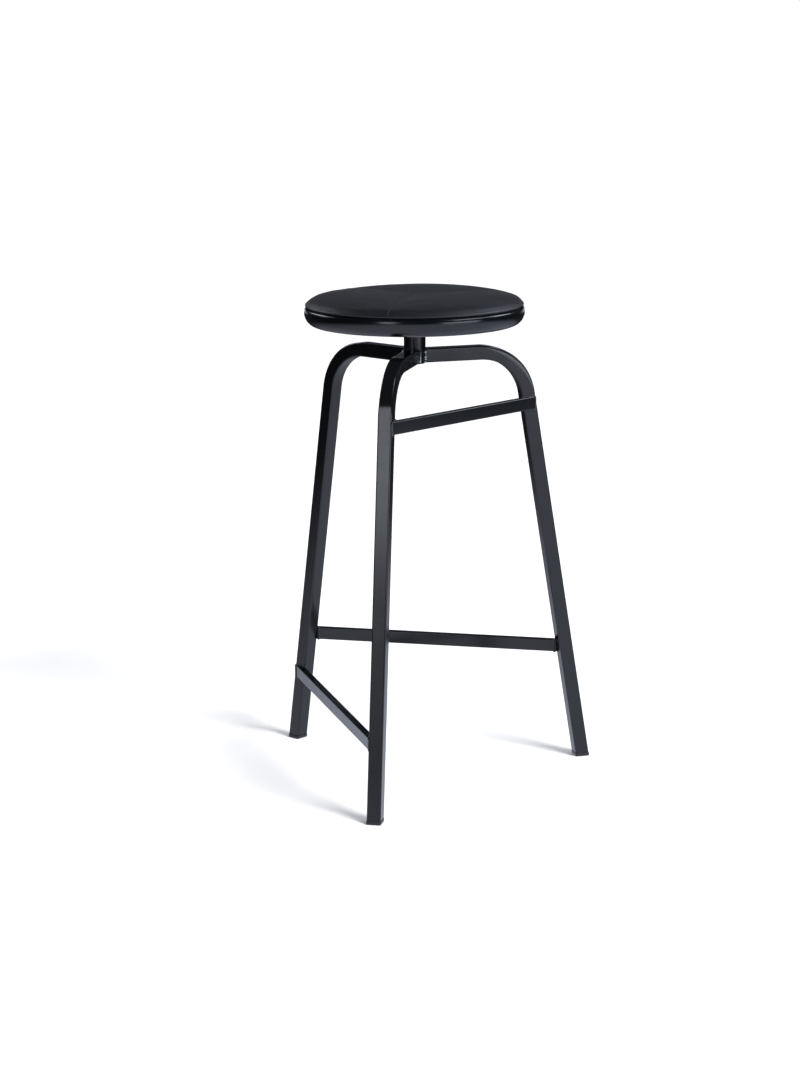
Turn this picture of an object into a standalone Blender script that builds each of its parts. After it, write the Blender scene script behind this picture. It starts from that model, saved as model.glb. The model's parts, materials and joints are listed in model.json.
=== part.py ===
"""Bar stool: a black steel tripod with three footrest bars and a round upholstered seat that swivels.

Units are metres, +Z is up and the floor is z = 0. One leg points along -Y (the front leg). The origin is on
the floor under the middle of the stool's bounding box, so the swivel axis stands a little way back, at
(0, AXIS_Y). Everything on the seat is parented to the empty on that axis.
"""

from math import cos, degrees, pi, radians, sin, tan

import bmesh
import bpy
from mathutils import Vector

# ---------------------------------------------------------------- driving dimensions
GAP = 0.0003                    # left between pieces that touch
CLEARANCE = 0.0003              # radial play of a pin, plug or screw in its hole

LEG_SIDE = 0.022                # square tube, outside
LEG_WALL = 0.0015
LEG_CORNER = 0.0022             # outer corner radius of the square tube
LEG_BEND_RADIUS = 0.077         # of the tube's centre line
LEG_SPLAY = radians(8.92)       # from the vertical
FOOT_RADIUS = 0.276             # swivel axis to the leg's centre line, at the floor
ARMS_TO_SEAT = 0.0377           # open height between the arms and the underside of the shell
LEG_AZIMUTHS = {"front": radians(-90), "right": radians(30), "left": radians(150)}

BAR_HEIGHT = 0.020              # footrest tube, upright side
BAR_THICKNESS = 0.0112
BAR_WALL = 0.0012
BAR_CORNER = 0.0015
BAR_INSET = 0.0010              # of the bar's outer face from the legs' outer corners
UPPER_BAR_DROP = 0.0077         # top of the upper bar below the lower end of the legs' bends
MIDDLE_BAR_HEIGHT = 0.1827      # floor to the middle of the bar
LOWER_BAR_HEIGHT = 0.1184

GLIDE_HEIGHT = 0.006            # plastic foot below the end of the tube
GLIDE_OVERHANG = 0.0006         # past the tube's faces
GLIDE_CHAMFER = 0.0012
GLIDE_PLUG_LENGTH = 0.016

HUB_RADIUS = 0.01685            # 33.7 mm tube
HUB_WALL = 0.0026
BUSH_WALL = 0.0014
BUSH_FLANGE = 0.0025
BUSH_LENGTH = 0.014
CAP_FLANGE = 0.0010
CAP_DEPTH = 0.007
CAP_WALL = 0.0015

THRUST_WASHER_THICKNESS = 0.0012
THRUST_WASHER_RADIUS = 0.019
RETAINING_WASHER_THICKNESS = 0.002
RETAINING_SCREW_RADIUS = 0.004
RETAINING_SCREW_HEAD_RADIUS = 0.0065
RETAINING_SCREW_HEAD_HEIGHT = 0.0045
RETAINING_SCREW_LENGTH = 0.016

PLATE_SIDE = 0.130
PLATE_THICKNESS = 0.004
PLATE_CORNER = 0.012
PLATE_SCREW_MARGIN = 0.017      # screw to the plate's edge
PLATE_SCREW_RADIUS = 0.0022
PLATE_SCREW_HEAD_RADIUS = 0.0047
PLATE_SCREW_HEAD_HEIGHT = 0.0026
PLATE_SCREW_BITE = 0.008        # how far a screw reaches into the pad board

SEAT_HEIGHT = 0.7642            # floor to the crown of the pad
SHELL_RADIUS = 0.170
SHELL_HEIGHT = 0.027
SHELL_WALL = 0.003
SHELL_TURN_WIDTH = 0.0173       # how far in the rounded lower edge starts
SHELL_TURN_HEIGHT = 0.0204
SHELL_LIP = 0.0012              # rounding of the shell's upper edge
PAD_STEP = 0.0015               # how far the pad stands back from the shell's outer face
PAD_GROOVE = 0.0020             # open height between the shell's upper edge and the pad
PAD_TUCK_CLEARANCE = 0.0025     # between the cover and the inside of the shell's rim
PAD_RISE = 0.0217               # crown of the pad above the shell's upper edge
PAD_SQUARENESS = 5.2            # exponents of the pad's superelliptic outline
PAD_FULLNESS = 2.8
PAD_DEPTH = 0.006               # how far the pad reaches down inside the shell
COVER_THICKNESS = 0.0014
BOARD_THICKNESS = 0.012
BOARD_EDGE_CLEARANCE = 0.001    # inside the shell's flat floor
PANEL_SEAMS = (radians(30), radians(150), radians(270))   # the seams lie above the legs

BEND_STEPS = 12
CORNER_STEPS = 2
ROUND_STEPS = 48
SMALL_STEPS = 20
SCREW_STEPS = 12
PAD_STEPS = 8

# ---------------------------------------------------------------- derived places
SHELL_TOP = SEAT_HEIGHT - PAD_RISE
SHELL_BOTTOM = SHELL_TOP - SHELL_HEIGHT
ARM_TOP = SHELL_BOTTOM - ARMS_TO_SEAT
ARM_HEIGHT = ARM_TOP - LEG_SIDE / 2
ARM_BOTTOM = ARM_TOP - LEG_SIDE
BEND_END = ARM_HEIGHT - LEG_BEND_RADIUS * (1 - sin(LEG_SPLAY))
UPPER_BAR_HEIGHT = BEND_END - UPPER_BAR_DROP - BAR_HEIGHT / 2
FOOTRESTS = {                   # middle height, and the two legs that each bar joins, anticlockwise
    "upper": (UPPER_BAR_HEIGHT, "front", "right"),
    "middle": (MIDDLE_BAR_HEIGHT, "right", "left"),
    "lower": (LOWER_BAR_HEIGHT, "left", "front"),
}
PLATE_TOP = SHELL_BOTTOM - GAP
PLATE_BOTTOM = PLATE_TOP - PLATE_THICKNESS
THRUST_WASHER_TOP = PLATE_BOTTOM - GAP
FLANGE_TOP = THRUST_WASHER_TOP - THRUST_WASHER_THICKNESS - GAP
HUB_TOP = FLANGE_TOP - BUSH_FLANGE - GAP
HUB_BORE = HUB_RADIUS - HUB_WALL
BUSH_RADIUS = HUB_BORE - CLEARANCE
SPINDLE_RADIUS = BUSH_RADIUS - BUSH_WALL - CLEARANCE
CAP_TOP = ARM_BOTTOM + CAP_DEPTH
SCREW_HEAD_BOTTOM = CAP_TOP + 0.001
SCREW_HEAD_TOP = SCREW_HEAD_BOTTOM + RETAINING_SCREW_HEAD_HEIGHT
RETAINING_WASHER_BOTTOM = SCREW_HEAD_TOP + GAP
SPINDLE_BOTTOM = RETAINING_WASHER_BOTTOM + RETAINING_WASHER_THICKNESS + GAP
BOARD_BOTTOM = SHELL_BOTTOM + SHELL_WALL + GAP
BOARD_TOP = BOARD_BOTTOM + BOARD_THICKNESS
BOARD_RADIUS = SHELL_RADIUS - SHELL_TURN_WIDTH - BOARD_EDGE_CLEARANCE
PAD_RADIUS = SHELL_RADIUS - PAD_STEP
TUCK_RADIUS = SHELL_RADIUS - SHELL_WALL - PAD_TUCK_CLEARANCE

FOOT_REACH = FOOT_RADIUS + LEG_SIDE / 2 / cos(LEG_SPLAY) + GLIDE_OVERHANG
REAR_FOOT_REACH = (FOOT_REACH * sin(LEG_AZIMUTHS["right"])
                   + (LEG_SIDE / 2 + GLIDE_OVERHANG) * cos(radians(30)))
AXIS_Y = (FOOT_REACH - max(SHELL_RADIUS, REAR_FOOT_REACH)) / 2

PARTS = "bar_stool"
CUTTERS = "bar_stool_cutters"


# ---------------------------------------------------------------- scene helpers
def clear_scene():
    """Remove every object of the open scene."""
    for obj in list(bpy.data.objects):
        bpy.data.objects.remove(obj, do_unlink=True)


def collection(name):
    """The collection of this name, made and linked when it's missing."""
    found = bpy.data.collections.get(name)
    if found is None:
        found = bpy.data.collections.new(name)
        bpy.context.scene.collection.children.link(found)
    return found


def material(name, colour, roughness, metallic=0.0):
    """A Principled material; colour is linear RGB."""
    made = bpy.data.materials.get(name) or bpy.data.materials.new(name)
    made.use_nodes = True
    shader = made.node_tree.nodes["Principled BSDF"]
    shader.inputs["Base Color"].default_value = (*colour, 1.0)
    shader.inputs["Roughness"].default_value = roughness
    shader.inputs["Metallic"].default_value = metallic
    made.diffuse_color = (*colour, 1.0)
    return made


def powder_coat():
    return material("black_powder_coat", (0.014, 0.016, 0.021), 0.32)


def zinc_steel():
    return material("zinc_steel", (0.55, 0.56, 0.58), 0.35, 1.0)


def nylon():
    return material("black_nylon", (0.02, 0.02, 0.022), 0.5)


def axis_empty(name):
    """An empty on the swivel axis, which pieces are placed from."""
    empty = bpy.data.objects.new(name, None)
    empty.location = (0.0, AXIS_Y, 0.0)
    empty.empty_display_size = 0.1
    collection(PARTS).objects.link(empty)
    return empty


def mesh_object(name, bm, where=PARTS):
    """An object of the bmesh, linked in the named collection."""
    mesh = bpy.data.meshes.new(name)
    bm.to_mesh(mesh)
    bm.free()
    obj = bpy.data.objects.new(name, mesh)
    collection(where).objects.link(obj)
    return obj


def finish(obj, made_of, parent, smooth_angle=radians(35)):
    """Give a part its material, its parent and its shading."""
    obj.data.materials.clear()
    obj.data.materials.append(made_of)
    obj.parent = parent
    obj.data.shade_smooth()
    obj.data.set_sharp_from_angle(angle=smooth_angle)
    return obj


def as_cutter(obj, parent):
    """Hide an object from renders and show it as a wire, for use as a cutter."""
    obj.parent = parent
    obj.hide_render = True
    obj.display_type = "WIRE"
    return obj


def boolean(obj, other, operation="DIFFERENCE"):
    """Add an exact Boolean of the other object."""
    modifier = obj.modifiers.new(f"{operation.lower()}_{other.name}", "BOOLEAN")
    modifier.operation = operation
    modifier.solver = "EXACT"
    modifier.object = other


# ---------------------------------------------------------------- shape helpers
def box(name, size, centre=(0, 0, 0), where=PARTS):
    """A box of the given size, centred where asked in its own frame."""
    bm = bmesh.new()
    bmesh.ops.create_cube(bm, size=1.0)
    bmesh.ops.scale(bm, vec=size, verts=bm.verts)
    bmesh.ops.translate(bm, vec=centre, verts=bm.verts)
    return mesh_object(name, bm, where)


def cylinder(name, radius, bottom, top, at=(0, 0), steps=SMALL_STEPS, where=PARTS):
    """An upright cylinder between two heights."""
    bm = bmesh.new()
    bmesh.ops.create_cone(bm, cap_ends=True, segments=steps, radius1=radius, radius2=radius,
                          depth=top - bottom)
    bmesh.ops.translate(bm, vec=(*at, (top + bottom) / 2), verts=bm.verts)
    return mesh_object(name, bm, where)


def arc(centre_r, centre_z, radius_r, radius_z, start, end, steps):
    """Points (r, z) of an elliptic arc; angles in degrees, 0 pointing outwards and 90 up."""
    turns = [radians(start + (end - start) * step / steps) for step in range(steps + 1)]
    return [(centre_r + radius_r * cos(turn), centre_z + radius_z * sin(turn)) for turn in turns]


def turned(name, profile, closed, steps=ROUND_STEPS, where=PARTS):
    """Turn a profile of (r, z) points about Z. It runs down its outer side, top to bottom."""
    mesh = bpy.data.meshes.new(name)
    edges = [(i, i + 1) for i in range(len(profile) - 1)]
    if closed:
        edges.append((len(profile) - 1, 0))
    mesh.from_pydata([(r, 0.0, z) for r, z in profile], edges, [])
    obj = bpy.data.objects.new(name, mesh)
    collection(where).objects.link(obj)
    screw = obj.modifiers.new("turn", "SCREW")
    screw.axis = "Z"
    screw.angle = 2 * pi
    screw.steps = screw.render_steps = steps
    screw.use_merge_vertices = True
    screw.merge_threshold = 0.00001
    screw.use_smooth_shade = True
    return obj


def ring(name, outer, inner, bottom, top, steps=SMALL_STEPS):
    """A plain washer or sleeve."""
    section = [(outer, top), (outer, bottom), (inner, bottom), (inner, top)]
    return turned(name, section, closed=True, steps=steps)


def rounded_outline(name, width, height, corner):
    """A closed 2D curve: a rectangle with rounded corners, used as a tube's section."""
    across, up = width / 2 - corner, height / 2 - corner
    points = []
    for x, y, start in ((across, up, 0), (-across, up, 90), (-across, -up, 180), (across, -up, 270)):
        points += arc(x, y, corner, corner, start, start + 90, CORNER_STEPS)
    curve = bpy.data.curves.new(name, "CURVE")
    curve.dimensions = "2D"
    curve.fill_mode = "NONE"
    spline = curve.splines.new("POLY")
    spline.points.add(len(points) - 1)
    for point, (x, y) in zip(spline.points, points):
        point.co = (x, y, 0.0, 1.0)
    spline.use_cyclic_u = True
    outline = bpy.data.objects.new(name, curve)
    collection(CUTTERS).objects.link(outline)
    outline.hide_render = True
    return outline


def swept_tube(name, path, outline, wall):
    """A hollow tube with open ends: the outline swept along the path, thickened inwards by its wall."""
    curve = bpy.data.curves.new(f"{name}_path", "CURVE")
    curve.dimensions = "3D"
    curve.twist_mode = "Z_UP"
    curve.bevel_mode = "OBJECT"
    curve.bevel_object = outline
    curve.use_fill_caps = False
    spline = curve.splines.new("POLY")
    spline.points.add(len(path) - 1)
    for point, place in zip(spline.points, path):
        point.co = (*place, 1.0)
    guide = bpy.data.objects.new(f"{name}_path", curve)
    collection(CUTTERS).objects.link(guide)
    bpy.context.view_layer.update()
    evaluated = guide.evaluated_get(bpy.context.evaluated_depsgraph_get())
    mesh = bpy.data.meshes.new_from_object(evaluated)
    mesh.name = name
    bpy.data.objects.remove(guide, do_unlink=True)
    bm = bmesh.new()
    bm.from_mesh(mesh)
    bmesh.ops.recalc_face_normals(bm, faces=bm.faces)
    bm.to_mesh(mesh)
    bm.free()
    obj = bpy.data.objects.new(name, mesh)
    collection(PARTS).objects.link(obj)
    solidify = obj.modifiers.new("wall", "SOLIDIFY")
    solidify.thickness = wall
    solidify.offset = -1.0
    solidify.use_even_offset = True
    return obj


# ---------------------------------------------------------------- frame
def leg_path():
    """Centre line of a leg in its own plane: out along the arm, round the bend and down past the floor."""
    turn = pi / 2 - LEG_SPLAY
    corner = FOOT_RADIUS - ARM_HEIGHT * tan(LEG_SPLAY)
    start = corner - LEG_BEND_RADIUS * tan(turn / 2)
    bend = arc(start, ARM_HEIGHT - LEG_BEND_RADIUS, LEG_BEND_RADIUS, LEG_BEND_RADIUS,
               90, 90 - degrees(turn), BEND_STEPS)
    past_floor = LEG_SIDE
    end = (FOOT_RADIUS + past_floor * tan(LEG_SPLAY), -past_floor)
    return [Vector((r, 0.0, z)) for r, z in [(HUB_RADIUS / 2, ARM_HEIGHT), *bend, end]]


def legs(frame):
    """Three square tubes, each bent once, coped to the hub tube and cut level at the foot."""
    outline = rounded_outline("leg_outline", LEG_SIDE, LEG_SIDE, LEG_CORNER)
    hub_space = cylinder("hub_space", HUB_RADIUS + GAP, ARM_BOTTOM - LEG_SIDE, ARM_TOP + LEG_SIDE,
                         steps=ROUND_STEPS, where=CUTTERS)
    as_cutter(hub_space, frame)
    below = box("below_legs", (1.0, 1.0, 0.1), (0, 0, GLIDE_HEIGHT + GAP - 0.05), where=CUTTERS)
    as_cutter(below, frame)
    for name, azimuth in LEG_AZIMUTHS.items():
        leg = swept_tube(f"leg_{name}", leg_path(), outline, LEG_WALL)
        boolean(leg, hub_space)
        boolean(leg, below)
        leg.rotation_euler.z = azimuth
        finish(leg, powder_coat(), frame)


def leg_radius_at(height):
    """Distance of a leg's centre line from the swivel axis at a height below the bend."""
    return FOOT_RADIUS - height * tan(LEG_SPLAY)


def footrests(frame):
    """Three bars whose mitred ends butt on the legs' side faces, flush with the legs' outer corners."""
    outline = rounded_outline("footrest_outline", BAR_THICKNESS, BAR_HEIGHT, BAR_CORNER)
    half_bay = radians(60)
    for name, (height, first, second) in FOOTRESTS.items():
        outer = leg_radius_at(height) + LEG_SIDE / 2 / cos(LEG_SPLAY)
        face_distance = outer * cos(half_bay) + LEG_SIDE / 2 * sin(half_bay)
        reach = outer * sin(half_bay)
        middle = face_distance - BAR_INSET - BAR_THICKNESS / 2
        path = [Vector((middle, -reach, height)), Vector((middle, reach, height))]
        bar = swept_tube(f"footrest_{name}", path, outline, BAR_WALL)
        bay = LEG_AZIMUTHS[first] + half_bay
        for leg_name, side in ((first, 1), (second, -1)):
            face = side * (LEG_SIDE / 2 + GAP)
            depth = LEG_SIDE * 3
            mitre = box(f"mitre_{name}_{leg_name}", (outer, depth, BAR_HEIGHT * 2),
                        (outer, face - side * depth / 2, height), where=CUTTERS)
            mitre.rotation_euler.z = LEG_AZIMUTHS[leg_name]
            as_cutter(mitre, frame)
            boolean(bar, mitre)
        bar.rotation_euler.z = bay
        finish(bar, powder_coat(), frame)


def lean(bm):
    """Shift every point outwards or inwards so that an upright shape follows the splayed leg."""
    for vert in bm.verts:
        vert.co.x += FOOT_RADIUS - vert.co.z * tan(LEG_SPLAY)


def leaning_block(name, side, bottom, top, chamfer, where):
    """A block of the leg's slanted direction, its ends level; side is across the leg."""
    bm = bmesh.new()
    bmesh.ops.create_cube(bm, size=1.0)
    bmesh.ops.scale(bm, vec=(side / cos(LEG_SPLAY), side, top - bottom), verts=bm.verts)
    bmesh.ops.translate(bm, vec=(0, 0, (bottom + top) / 2), verts=bm.verts)
    if chamfer:
        bmesh.ops.bevel(bm, geom=list(bm.edges), offset=chamfer, segments=2, affect="EDGES", profile=0.5)
    lean(bm)
    return mesh_object(name, bm, where)


def foot_glides(frame):
    """A plastic glide under each leg, with a plug that holds it in the tube."""
    plug_side = LEG_SIDE - 2 * LEG_WALL - 2 * CLEARANCE
    for name, azimuth in LEG_AZIMUTHS.items():
        glide = leaning_block(f"foot_glide_{name}", LEG_SIDE + 2 * GLIDE_OVERHANG, 0.0, GLIDE_HEIGHT,
                              GLIDE_CHAMFER, PARTS)
        plug = leaning_block(f"glide_plug_{name}", plug_side, GLIDE_HEIGHT / 2,
                             GLIDE_HEIGHT + GLIDE_PLUG_LENGTH, 0.0, CUTTERS)
        rounding = plug.modifiers.new("corners", "BEVEL")
        rounding.width = LEG_WALL
        rounding.segments = 1
        for piece in (glide, plug):
            piece.rotation_euler.z = azimuth
        as_cutter(plug, frame)
        boolean(glide, plug, "UNION")
        finish(glide, nylon(), frame)


def hub(frame):
    """The upright tube that the arms are welded to, its two bushes and the cap in its lower end."""
    finish(ring("hub_tube", HUB_RADIUS, HUB_BORE, ARM_BOTTOM, HUB_TOP, ROUND_STEPS), powder_coat(), frame)
    bore = SPINDLE_RADIUS + CLEARANCE
    flange_bottom = HUB_TOP + GAP
    upper = [(HUB_RADIUS - GAP, FLANGE_TOP), (HUB_RADIUS - GAP, flange_bottom), (BUSH_RADIUS, flange_bottom),
             (BUSH_RADIUS, HUB_TOP - BUSH_LENGTH), (bore, HUB_TOP - BUSH_LENGTH), (bore, FLANGE_TOP)]
    finish(turned("upper_bush", upper, closed=True, steps=SMALL_STEPS), nylon(), frame)
    finish(ring("lower_bush", BUSH_RADIUS, bore, SPINDLE_BOTTOM, SPINDLE_BOTTOM + BUSH_LENGTH),
           nylon(), frame)
    cap_radius = HUB_BORE - CLEARANCE
    cap_bottom = ARM_BOTTOM - GAP - CAP_FLANGE
    cap = [(0, ARM_BOTTOM), (cap_radius - CAP_WALL, ARM_BOTTOM), (cap_radius - CAP_WALL, CAP_TOP),
           (cap_radius, CAP_TOP), (cap_radius, ARM_BOTTOM - GAP),
           (HUB_RADIUS - CAP_FLANGE, ARM_BOTTOM - GAP), (HUB_RADIUS - CAP_FLANGE, cap_bottom),
           (0, cap_bottom)]
    finish(turned("hub_cap", cap, closed=False, steps=SMALL_STEPS), nylon(), frame)


# ---------------------------------------------------------------- swivel and seat
def swivel(seat):
    """Spindle, plate and washers that turn with the seat, and the screw that keeps the spindle in."""
    spindle = cylinder("spindle", SPINDLE_RADIUS, SPINDLE_BOTTOM, PLATE_TOP)
    tapped = cylinder("spindle_hole", RETAINING_SCREW_RADIUS + CLEARANCE, SPINDLE_BOTTOM - 0.001,
                      RETAINING_WASHER_BOTTOM + RETAINING_SCREW_LENGTH + 0.001, where=CUTTERS)
    boolean(spindle, as_cutter(tapped, seat))
    finish(spindle, zinc_steel(), seat)

    finish(ring("thrust_washer", THRUST_WASHER_RADIUS, SPINDLE_RADIUS + CLEARANCE,
                THRUST_WASHER_TOP - THRUST_WASHER_THICKNESS, THRUST_WASHER_TOP), zinc_steel(), seat)
    finish(ring("retaining_washer", BUSH_RADIUS - CLEARANCE, RETAINING_SCREW_RADIUS + CLEARANCE,
                RETAINING_WASHER_BOTTOM, RETAINING_WASHER_BOTTOM + RETAINING_WASHER_THICKNESS),
           zinc_steel(), seat)
    screw = [(0, RETAINING_WASHER_BOTTOM + RETAINING_SCREW_LENGTH),
             (RETAINING_SCREW_RADIUS, RETAINING_WASHER_BOTTOM + RETAINING_SCREW_LENGTH),
             (RETAINING_SCREW_RADIUS, SCREW_HEAD_TOP), (RETAINING_SCREW_HEAD_RADIUS, SCREW_HEAD_TOP),
             (RETAINING_SCREW_HEAD_RADIUS, SCREW_HEAD_BOTTOM + 0.0005),
             (RETAINING_SCREW_HEAD_RADIUS - 0.0005, SCREW_HEAD_BOTTOM), (0, SCREW_HEAD_BOTTOM)]
    finish(turned("retaining_screw", screw, closed=False, steps=SMALL_STEPS), zinc_steel(), seat)

    plate = box("seat_plate", (PLATE_SIDE, PLATE_SIDE, PLATE_THICKNESS),
                (0, 0, PLATE_TOP - PLATE_THICKNESS / 2))
    round_upright_edges(plate, PLATE_CORNER)
    centre_hole = cylinder("plate_hole", SPINDLE_RADIUS + CLEARANCE, PLATE_BOTTOM - 0.001, PLATE_TOP + 0.001,
                           where=CUTTERS)
    boolean(plate, as_cutter(centre_hole, seat))
    finish(plate, powder_coat(), seat)
    return plate


def round_upright_edges(obj, radius):
    """Round a block's four upright edges."""
    bm = bmesh.new()
    bm.from_mesh(obj.data)
    upright = [edge for edge in bm.edges if abs((edge.verts[0].co - edge.verts[1].co).normalized().z) > 0.9]
    bmesh.ops.bevel(bm, geom=upright, offset=radius, segments=5, affect="EDGES", profile=0.5)
    bm.to_mesh(obj.data)
    bm.free()


def shell(seat):
    """The dished shell under the pad: flat floor, rounded lower edge and an upright rim."""
    turn_z = SHELL_BOTTOM + SHELL_TURN_HEIGHT
    flat = SHELL_RADIUS - SHELL_TURN_WIDTH
    lip_z = SHELL_TOP - SHELL_LIP
    outside = arc(SHELL_RADIUS - SHELL_LIP, lip_z, SHELL_LIP, SHELL_LIP, 90, 0, 2)
    outside += arc(flat, turn_z, SHELL_TURN_WIDTH, SHELL_TURN_HEIGHT, 0, -90, 7)
    inner_width = SHELL_TURN_WIDTH - SHELL_WALL
    inner_height = SHELL_TURN_HEIGHT - SHELL_WALL
    inside = arc(flat, turn_z, inner_width, inner_height, -90, 0, 3)
    inside += [(SHELL_RADIUS - SHELL_WALL, SHELL_TOP)]
    profile = [*outside, (0, SHELL_BOTTOM)]
    floor = (0, SHELL_BOTTOM + SHELL_WALL)
    obj = turned("seat_shell", [floor, *inside, *profile], closed=False)
    finish(obj, material("black_lacquer", (0.010, 0.011, 0.014), 0.15), seat)
    return obj


def pad_outline(inset):
    """Half outline of the pad from crown to groove, moved inwards by the inset: a superellipse."""
    base = SHELL_TOP + PAD_GROOVE + inset
    height = SEAT_HEIGHT - inset - base
    radius = PAD_RADIUS - inset
    points = [(0.0, base + height)]
    for step in range(1, PAD_STEPS + 1):
        turn = pi / 2 * (1 - step / PAD_STEPS)
        points.append((radius * cos(turn) ** (2 / PAD_SQUARENESS),
                       base + height * sin(turn) ** (2 / PAD_FULLNESS)))
    tucked = TUCK_RADIUS - inset
    return points + [(tucked, SHELL_TOP + inset), (tucked, SHELL_TOP - PAD_DEPTH)]


def pad(seat):
    """Plywood board, foam, and a cover of three sewn panels."""
    board = cylinder("pad_board", BOARD_RADIUS, BOARD_BOTTOM, BOARD_TOP, steps=ROUND_STEPS)
    finish(board, material("birch_plywood", (0.62, 0.45, 0.28), 0.6), seat)

    foam_side = pad_outline(COVER_THICKNESS + GAP)
    foam = turned("seat_foam", [*foam_side[:-1], (foam_side[-2][0], BOARD_TOP + GAP), (0, BOARD_TOP + GAP)],
                  closed=False)
    finish(foam, material("seat_foam", (0.75, 0.70, 0.55), 0.9), seat)

    outside = pad_outline(0.0)
    inside = pad_outline(COVER_THICKNESS)
    leather = material("black_leather", (0.018, 0.020, 0.024), 0.5)
    names = ("back", "left", "right")
    for name, seam in zip(names, PANEL_SEAMS):
        panel = turned(f"cover_panel_{name}", [*reversed(inside), *outside], closed=True)
        wedge = sector(f"panel_sector_{name}", seam, seam + radians(120))
        boolean(panel, as_cutter(wedge, seat), "INTERSECT")
        finish(panel, leather, seat)
    return board


def sector(name, start, end):
    """An upright prism over the part of the seat between two azimuths, with half a gap off each side."""
    reach = SHELL_RADIUS * 4
    middle = (start + end) / 2
    apex = Vector((cos(middle), sin(middle))) * (GAP / 2 / sin((end - start) / 2))
    corners = [apex]
    for azimuth in (start, middle, end):
        corners.append(apex + Vector((cos(azimuth), sin(azimuth))) * reach)
    bm = bmesh.new()
    low = [bm.verts.new((corner.x, corner.y, SHELL_BOTTOM)) for corner in corners]
    face = bm.faces.new(low)
    raised = bmesh.ops.extrude_face_region(bm, geom=[face])["geom"]
    bmesh.ops.translate(bm, vec=(0, 0, SEAT_HEIGHT - SHELL_BOTTOM + 0.05),
                        verts=[item for item in raised if isinstance(item, bmesh.types.BMVert)])
    bmesh.ops.recalc_face_normals(bm, faces=bm.faces)
    return mesh_object(name, bm, CUTTERS)


def plate_screws(seat, drilled):
    """Four screws up through the plate and the shell into the board, and their holes."""
    half = PLATE_SIDE / 2 - PLATE_SCREW_MARGIN
    tip = BOARD_BOTTOM + PLATE_SCREW_BITE
    head_top = PLATE_BOTTOM - GAP
    head_bottom = head_top - PLATE_SCREW_HEAD_HEIGHT
    places = [(half, -half), (half, half), (-half, half), (-half, -half)]
    profile = [(0, tip), (PLATE_SCREW_RADIUS * 0.4, tip), (PLATE_SCREW_RADIUS, tip - PLATE_SCREW_RADIUS),
               (PLATE_SCREW_RADIUS, head_top), (PLATE_SCREW_HEAD_RADIUS, head_top),
               *arc(0, head_top - PLATE_SCREW_HEAD_HEIGHT / 2, PLATE_SCREW_HEAD_RADIUS,
                    PLATE_SCREW_HEAD_HEIGHT / 2, 0, -90, 3)]
    profile[-1] = (0, head_bottom)
    for number, (x, y) in enumerate(places, start=1):
        screw = turned(f"plate_screw_{number}", profile, closed=False, steps=SCREW_STEPS)
        screw.location = (x, y, 0)
        finish(screw, zinc_steel(), seat)
        hole = cylinder(f"screw_hole_{number}", PLATE_SCREW_RADIUS + CLEARANCE, head_bottom, tip + CLEARANCE,
                        at=(x, y), steps=SCREW_STEPS, where=CUTTERS)
        as_cutter(hole, seat)
        for piece in drilled:
            boolean(piece, hole)


def build():
    """Build the whole stool."""
    clear_scene()
    frame = axis_empty("frame_axis")
    seat = axis_empty("seat_axis")
    legs(frame)
    footrests(frame)
    foot_glides(frame)
    hub(frame)
    plate = swivel(seat)
    seat_shell = shell(seat)
    board = pad(seat)
    plate_screws(seat, [plate, seat_shell, board])


build()
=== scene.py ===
"""Looks of a three-legged swivel bar stool: bent square tube, three footrest bars and a round leather pad.

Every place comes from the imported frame. The pieces are built in metres, in the frame's own axes.
"""

import json
import logging
from abc import ABC, abstractmethod
from dataclasses import dataclass, field
from enum import Enum
from math import acos, asin, cos, degrees, exp, hypot, pi, radians, sin, sqrt, tan
from typing import Any, Callable, Protocol

import bmesh
import bpy
from mathutils import Matrix, Vector
from mathutils.bvhtree import BVHTree

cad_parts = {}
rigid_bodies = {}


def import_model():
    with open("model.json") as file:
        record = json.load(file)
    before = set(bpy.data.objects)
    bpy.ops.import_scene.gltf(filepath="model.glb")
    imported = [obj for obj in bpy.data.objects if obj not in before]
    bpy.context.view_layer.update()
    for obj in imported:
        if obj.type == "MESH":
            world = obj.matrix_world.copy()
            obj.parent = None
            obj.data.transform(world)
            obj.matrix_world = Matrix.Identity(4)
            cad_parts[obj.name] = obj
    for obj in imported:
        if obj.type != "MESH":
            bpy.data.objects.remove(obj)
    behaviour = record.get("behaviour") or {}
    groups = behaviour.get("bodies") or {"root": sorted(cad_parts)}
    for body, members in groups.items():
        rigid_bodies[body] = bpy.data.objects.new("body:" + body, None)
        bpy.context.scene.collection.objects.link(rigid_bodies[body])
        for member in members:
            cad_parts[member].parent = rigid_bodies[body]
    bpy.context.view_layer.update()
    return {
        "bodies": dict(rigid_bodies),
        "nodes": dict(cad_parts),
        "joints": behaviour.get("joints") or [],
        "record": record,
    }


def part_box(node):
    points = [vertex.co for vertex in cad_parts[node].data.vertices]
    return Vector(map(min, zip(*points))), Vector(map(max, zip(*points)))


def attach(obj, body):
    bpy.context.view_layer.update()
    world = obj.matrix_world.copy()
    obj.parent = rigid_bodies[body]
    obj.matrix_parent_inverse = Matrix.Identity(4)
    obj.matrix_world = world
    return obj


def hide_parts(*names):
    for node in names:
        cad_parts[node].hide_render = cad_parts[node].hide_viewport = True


LOG = logging.getLogger("bar_stool")
MM = 0.001
SMOOTH_BELOW = radians(32)
WELD_LENGTH = 1e-6  # points closer than this are one
WELD_IN = 0.3 * MM  # how far a welded tube's end reaches into its neighbour's face
PLAY = 0.3 * MM  # air round a part that is pushed into another
BAR_TURN = 60.0  # degrees about the axis from a leg to the middle of its footrest bar
PANEL_TURN = 120.0  # degrees about the axis from one seam of the pad to the next
WAVE_STEP = 0.314  # metres from band to band of a wave texture whose scale is 1

Ring = list[Vector]
Profile = list[tuple[float, float]]


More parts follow.
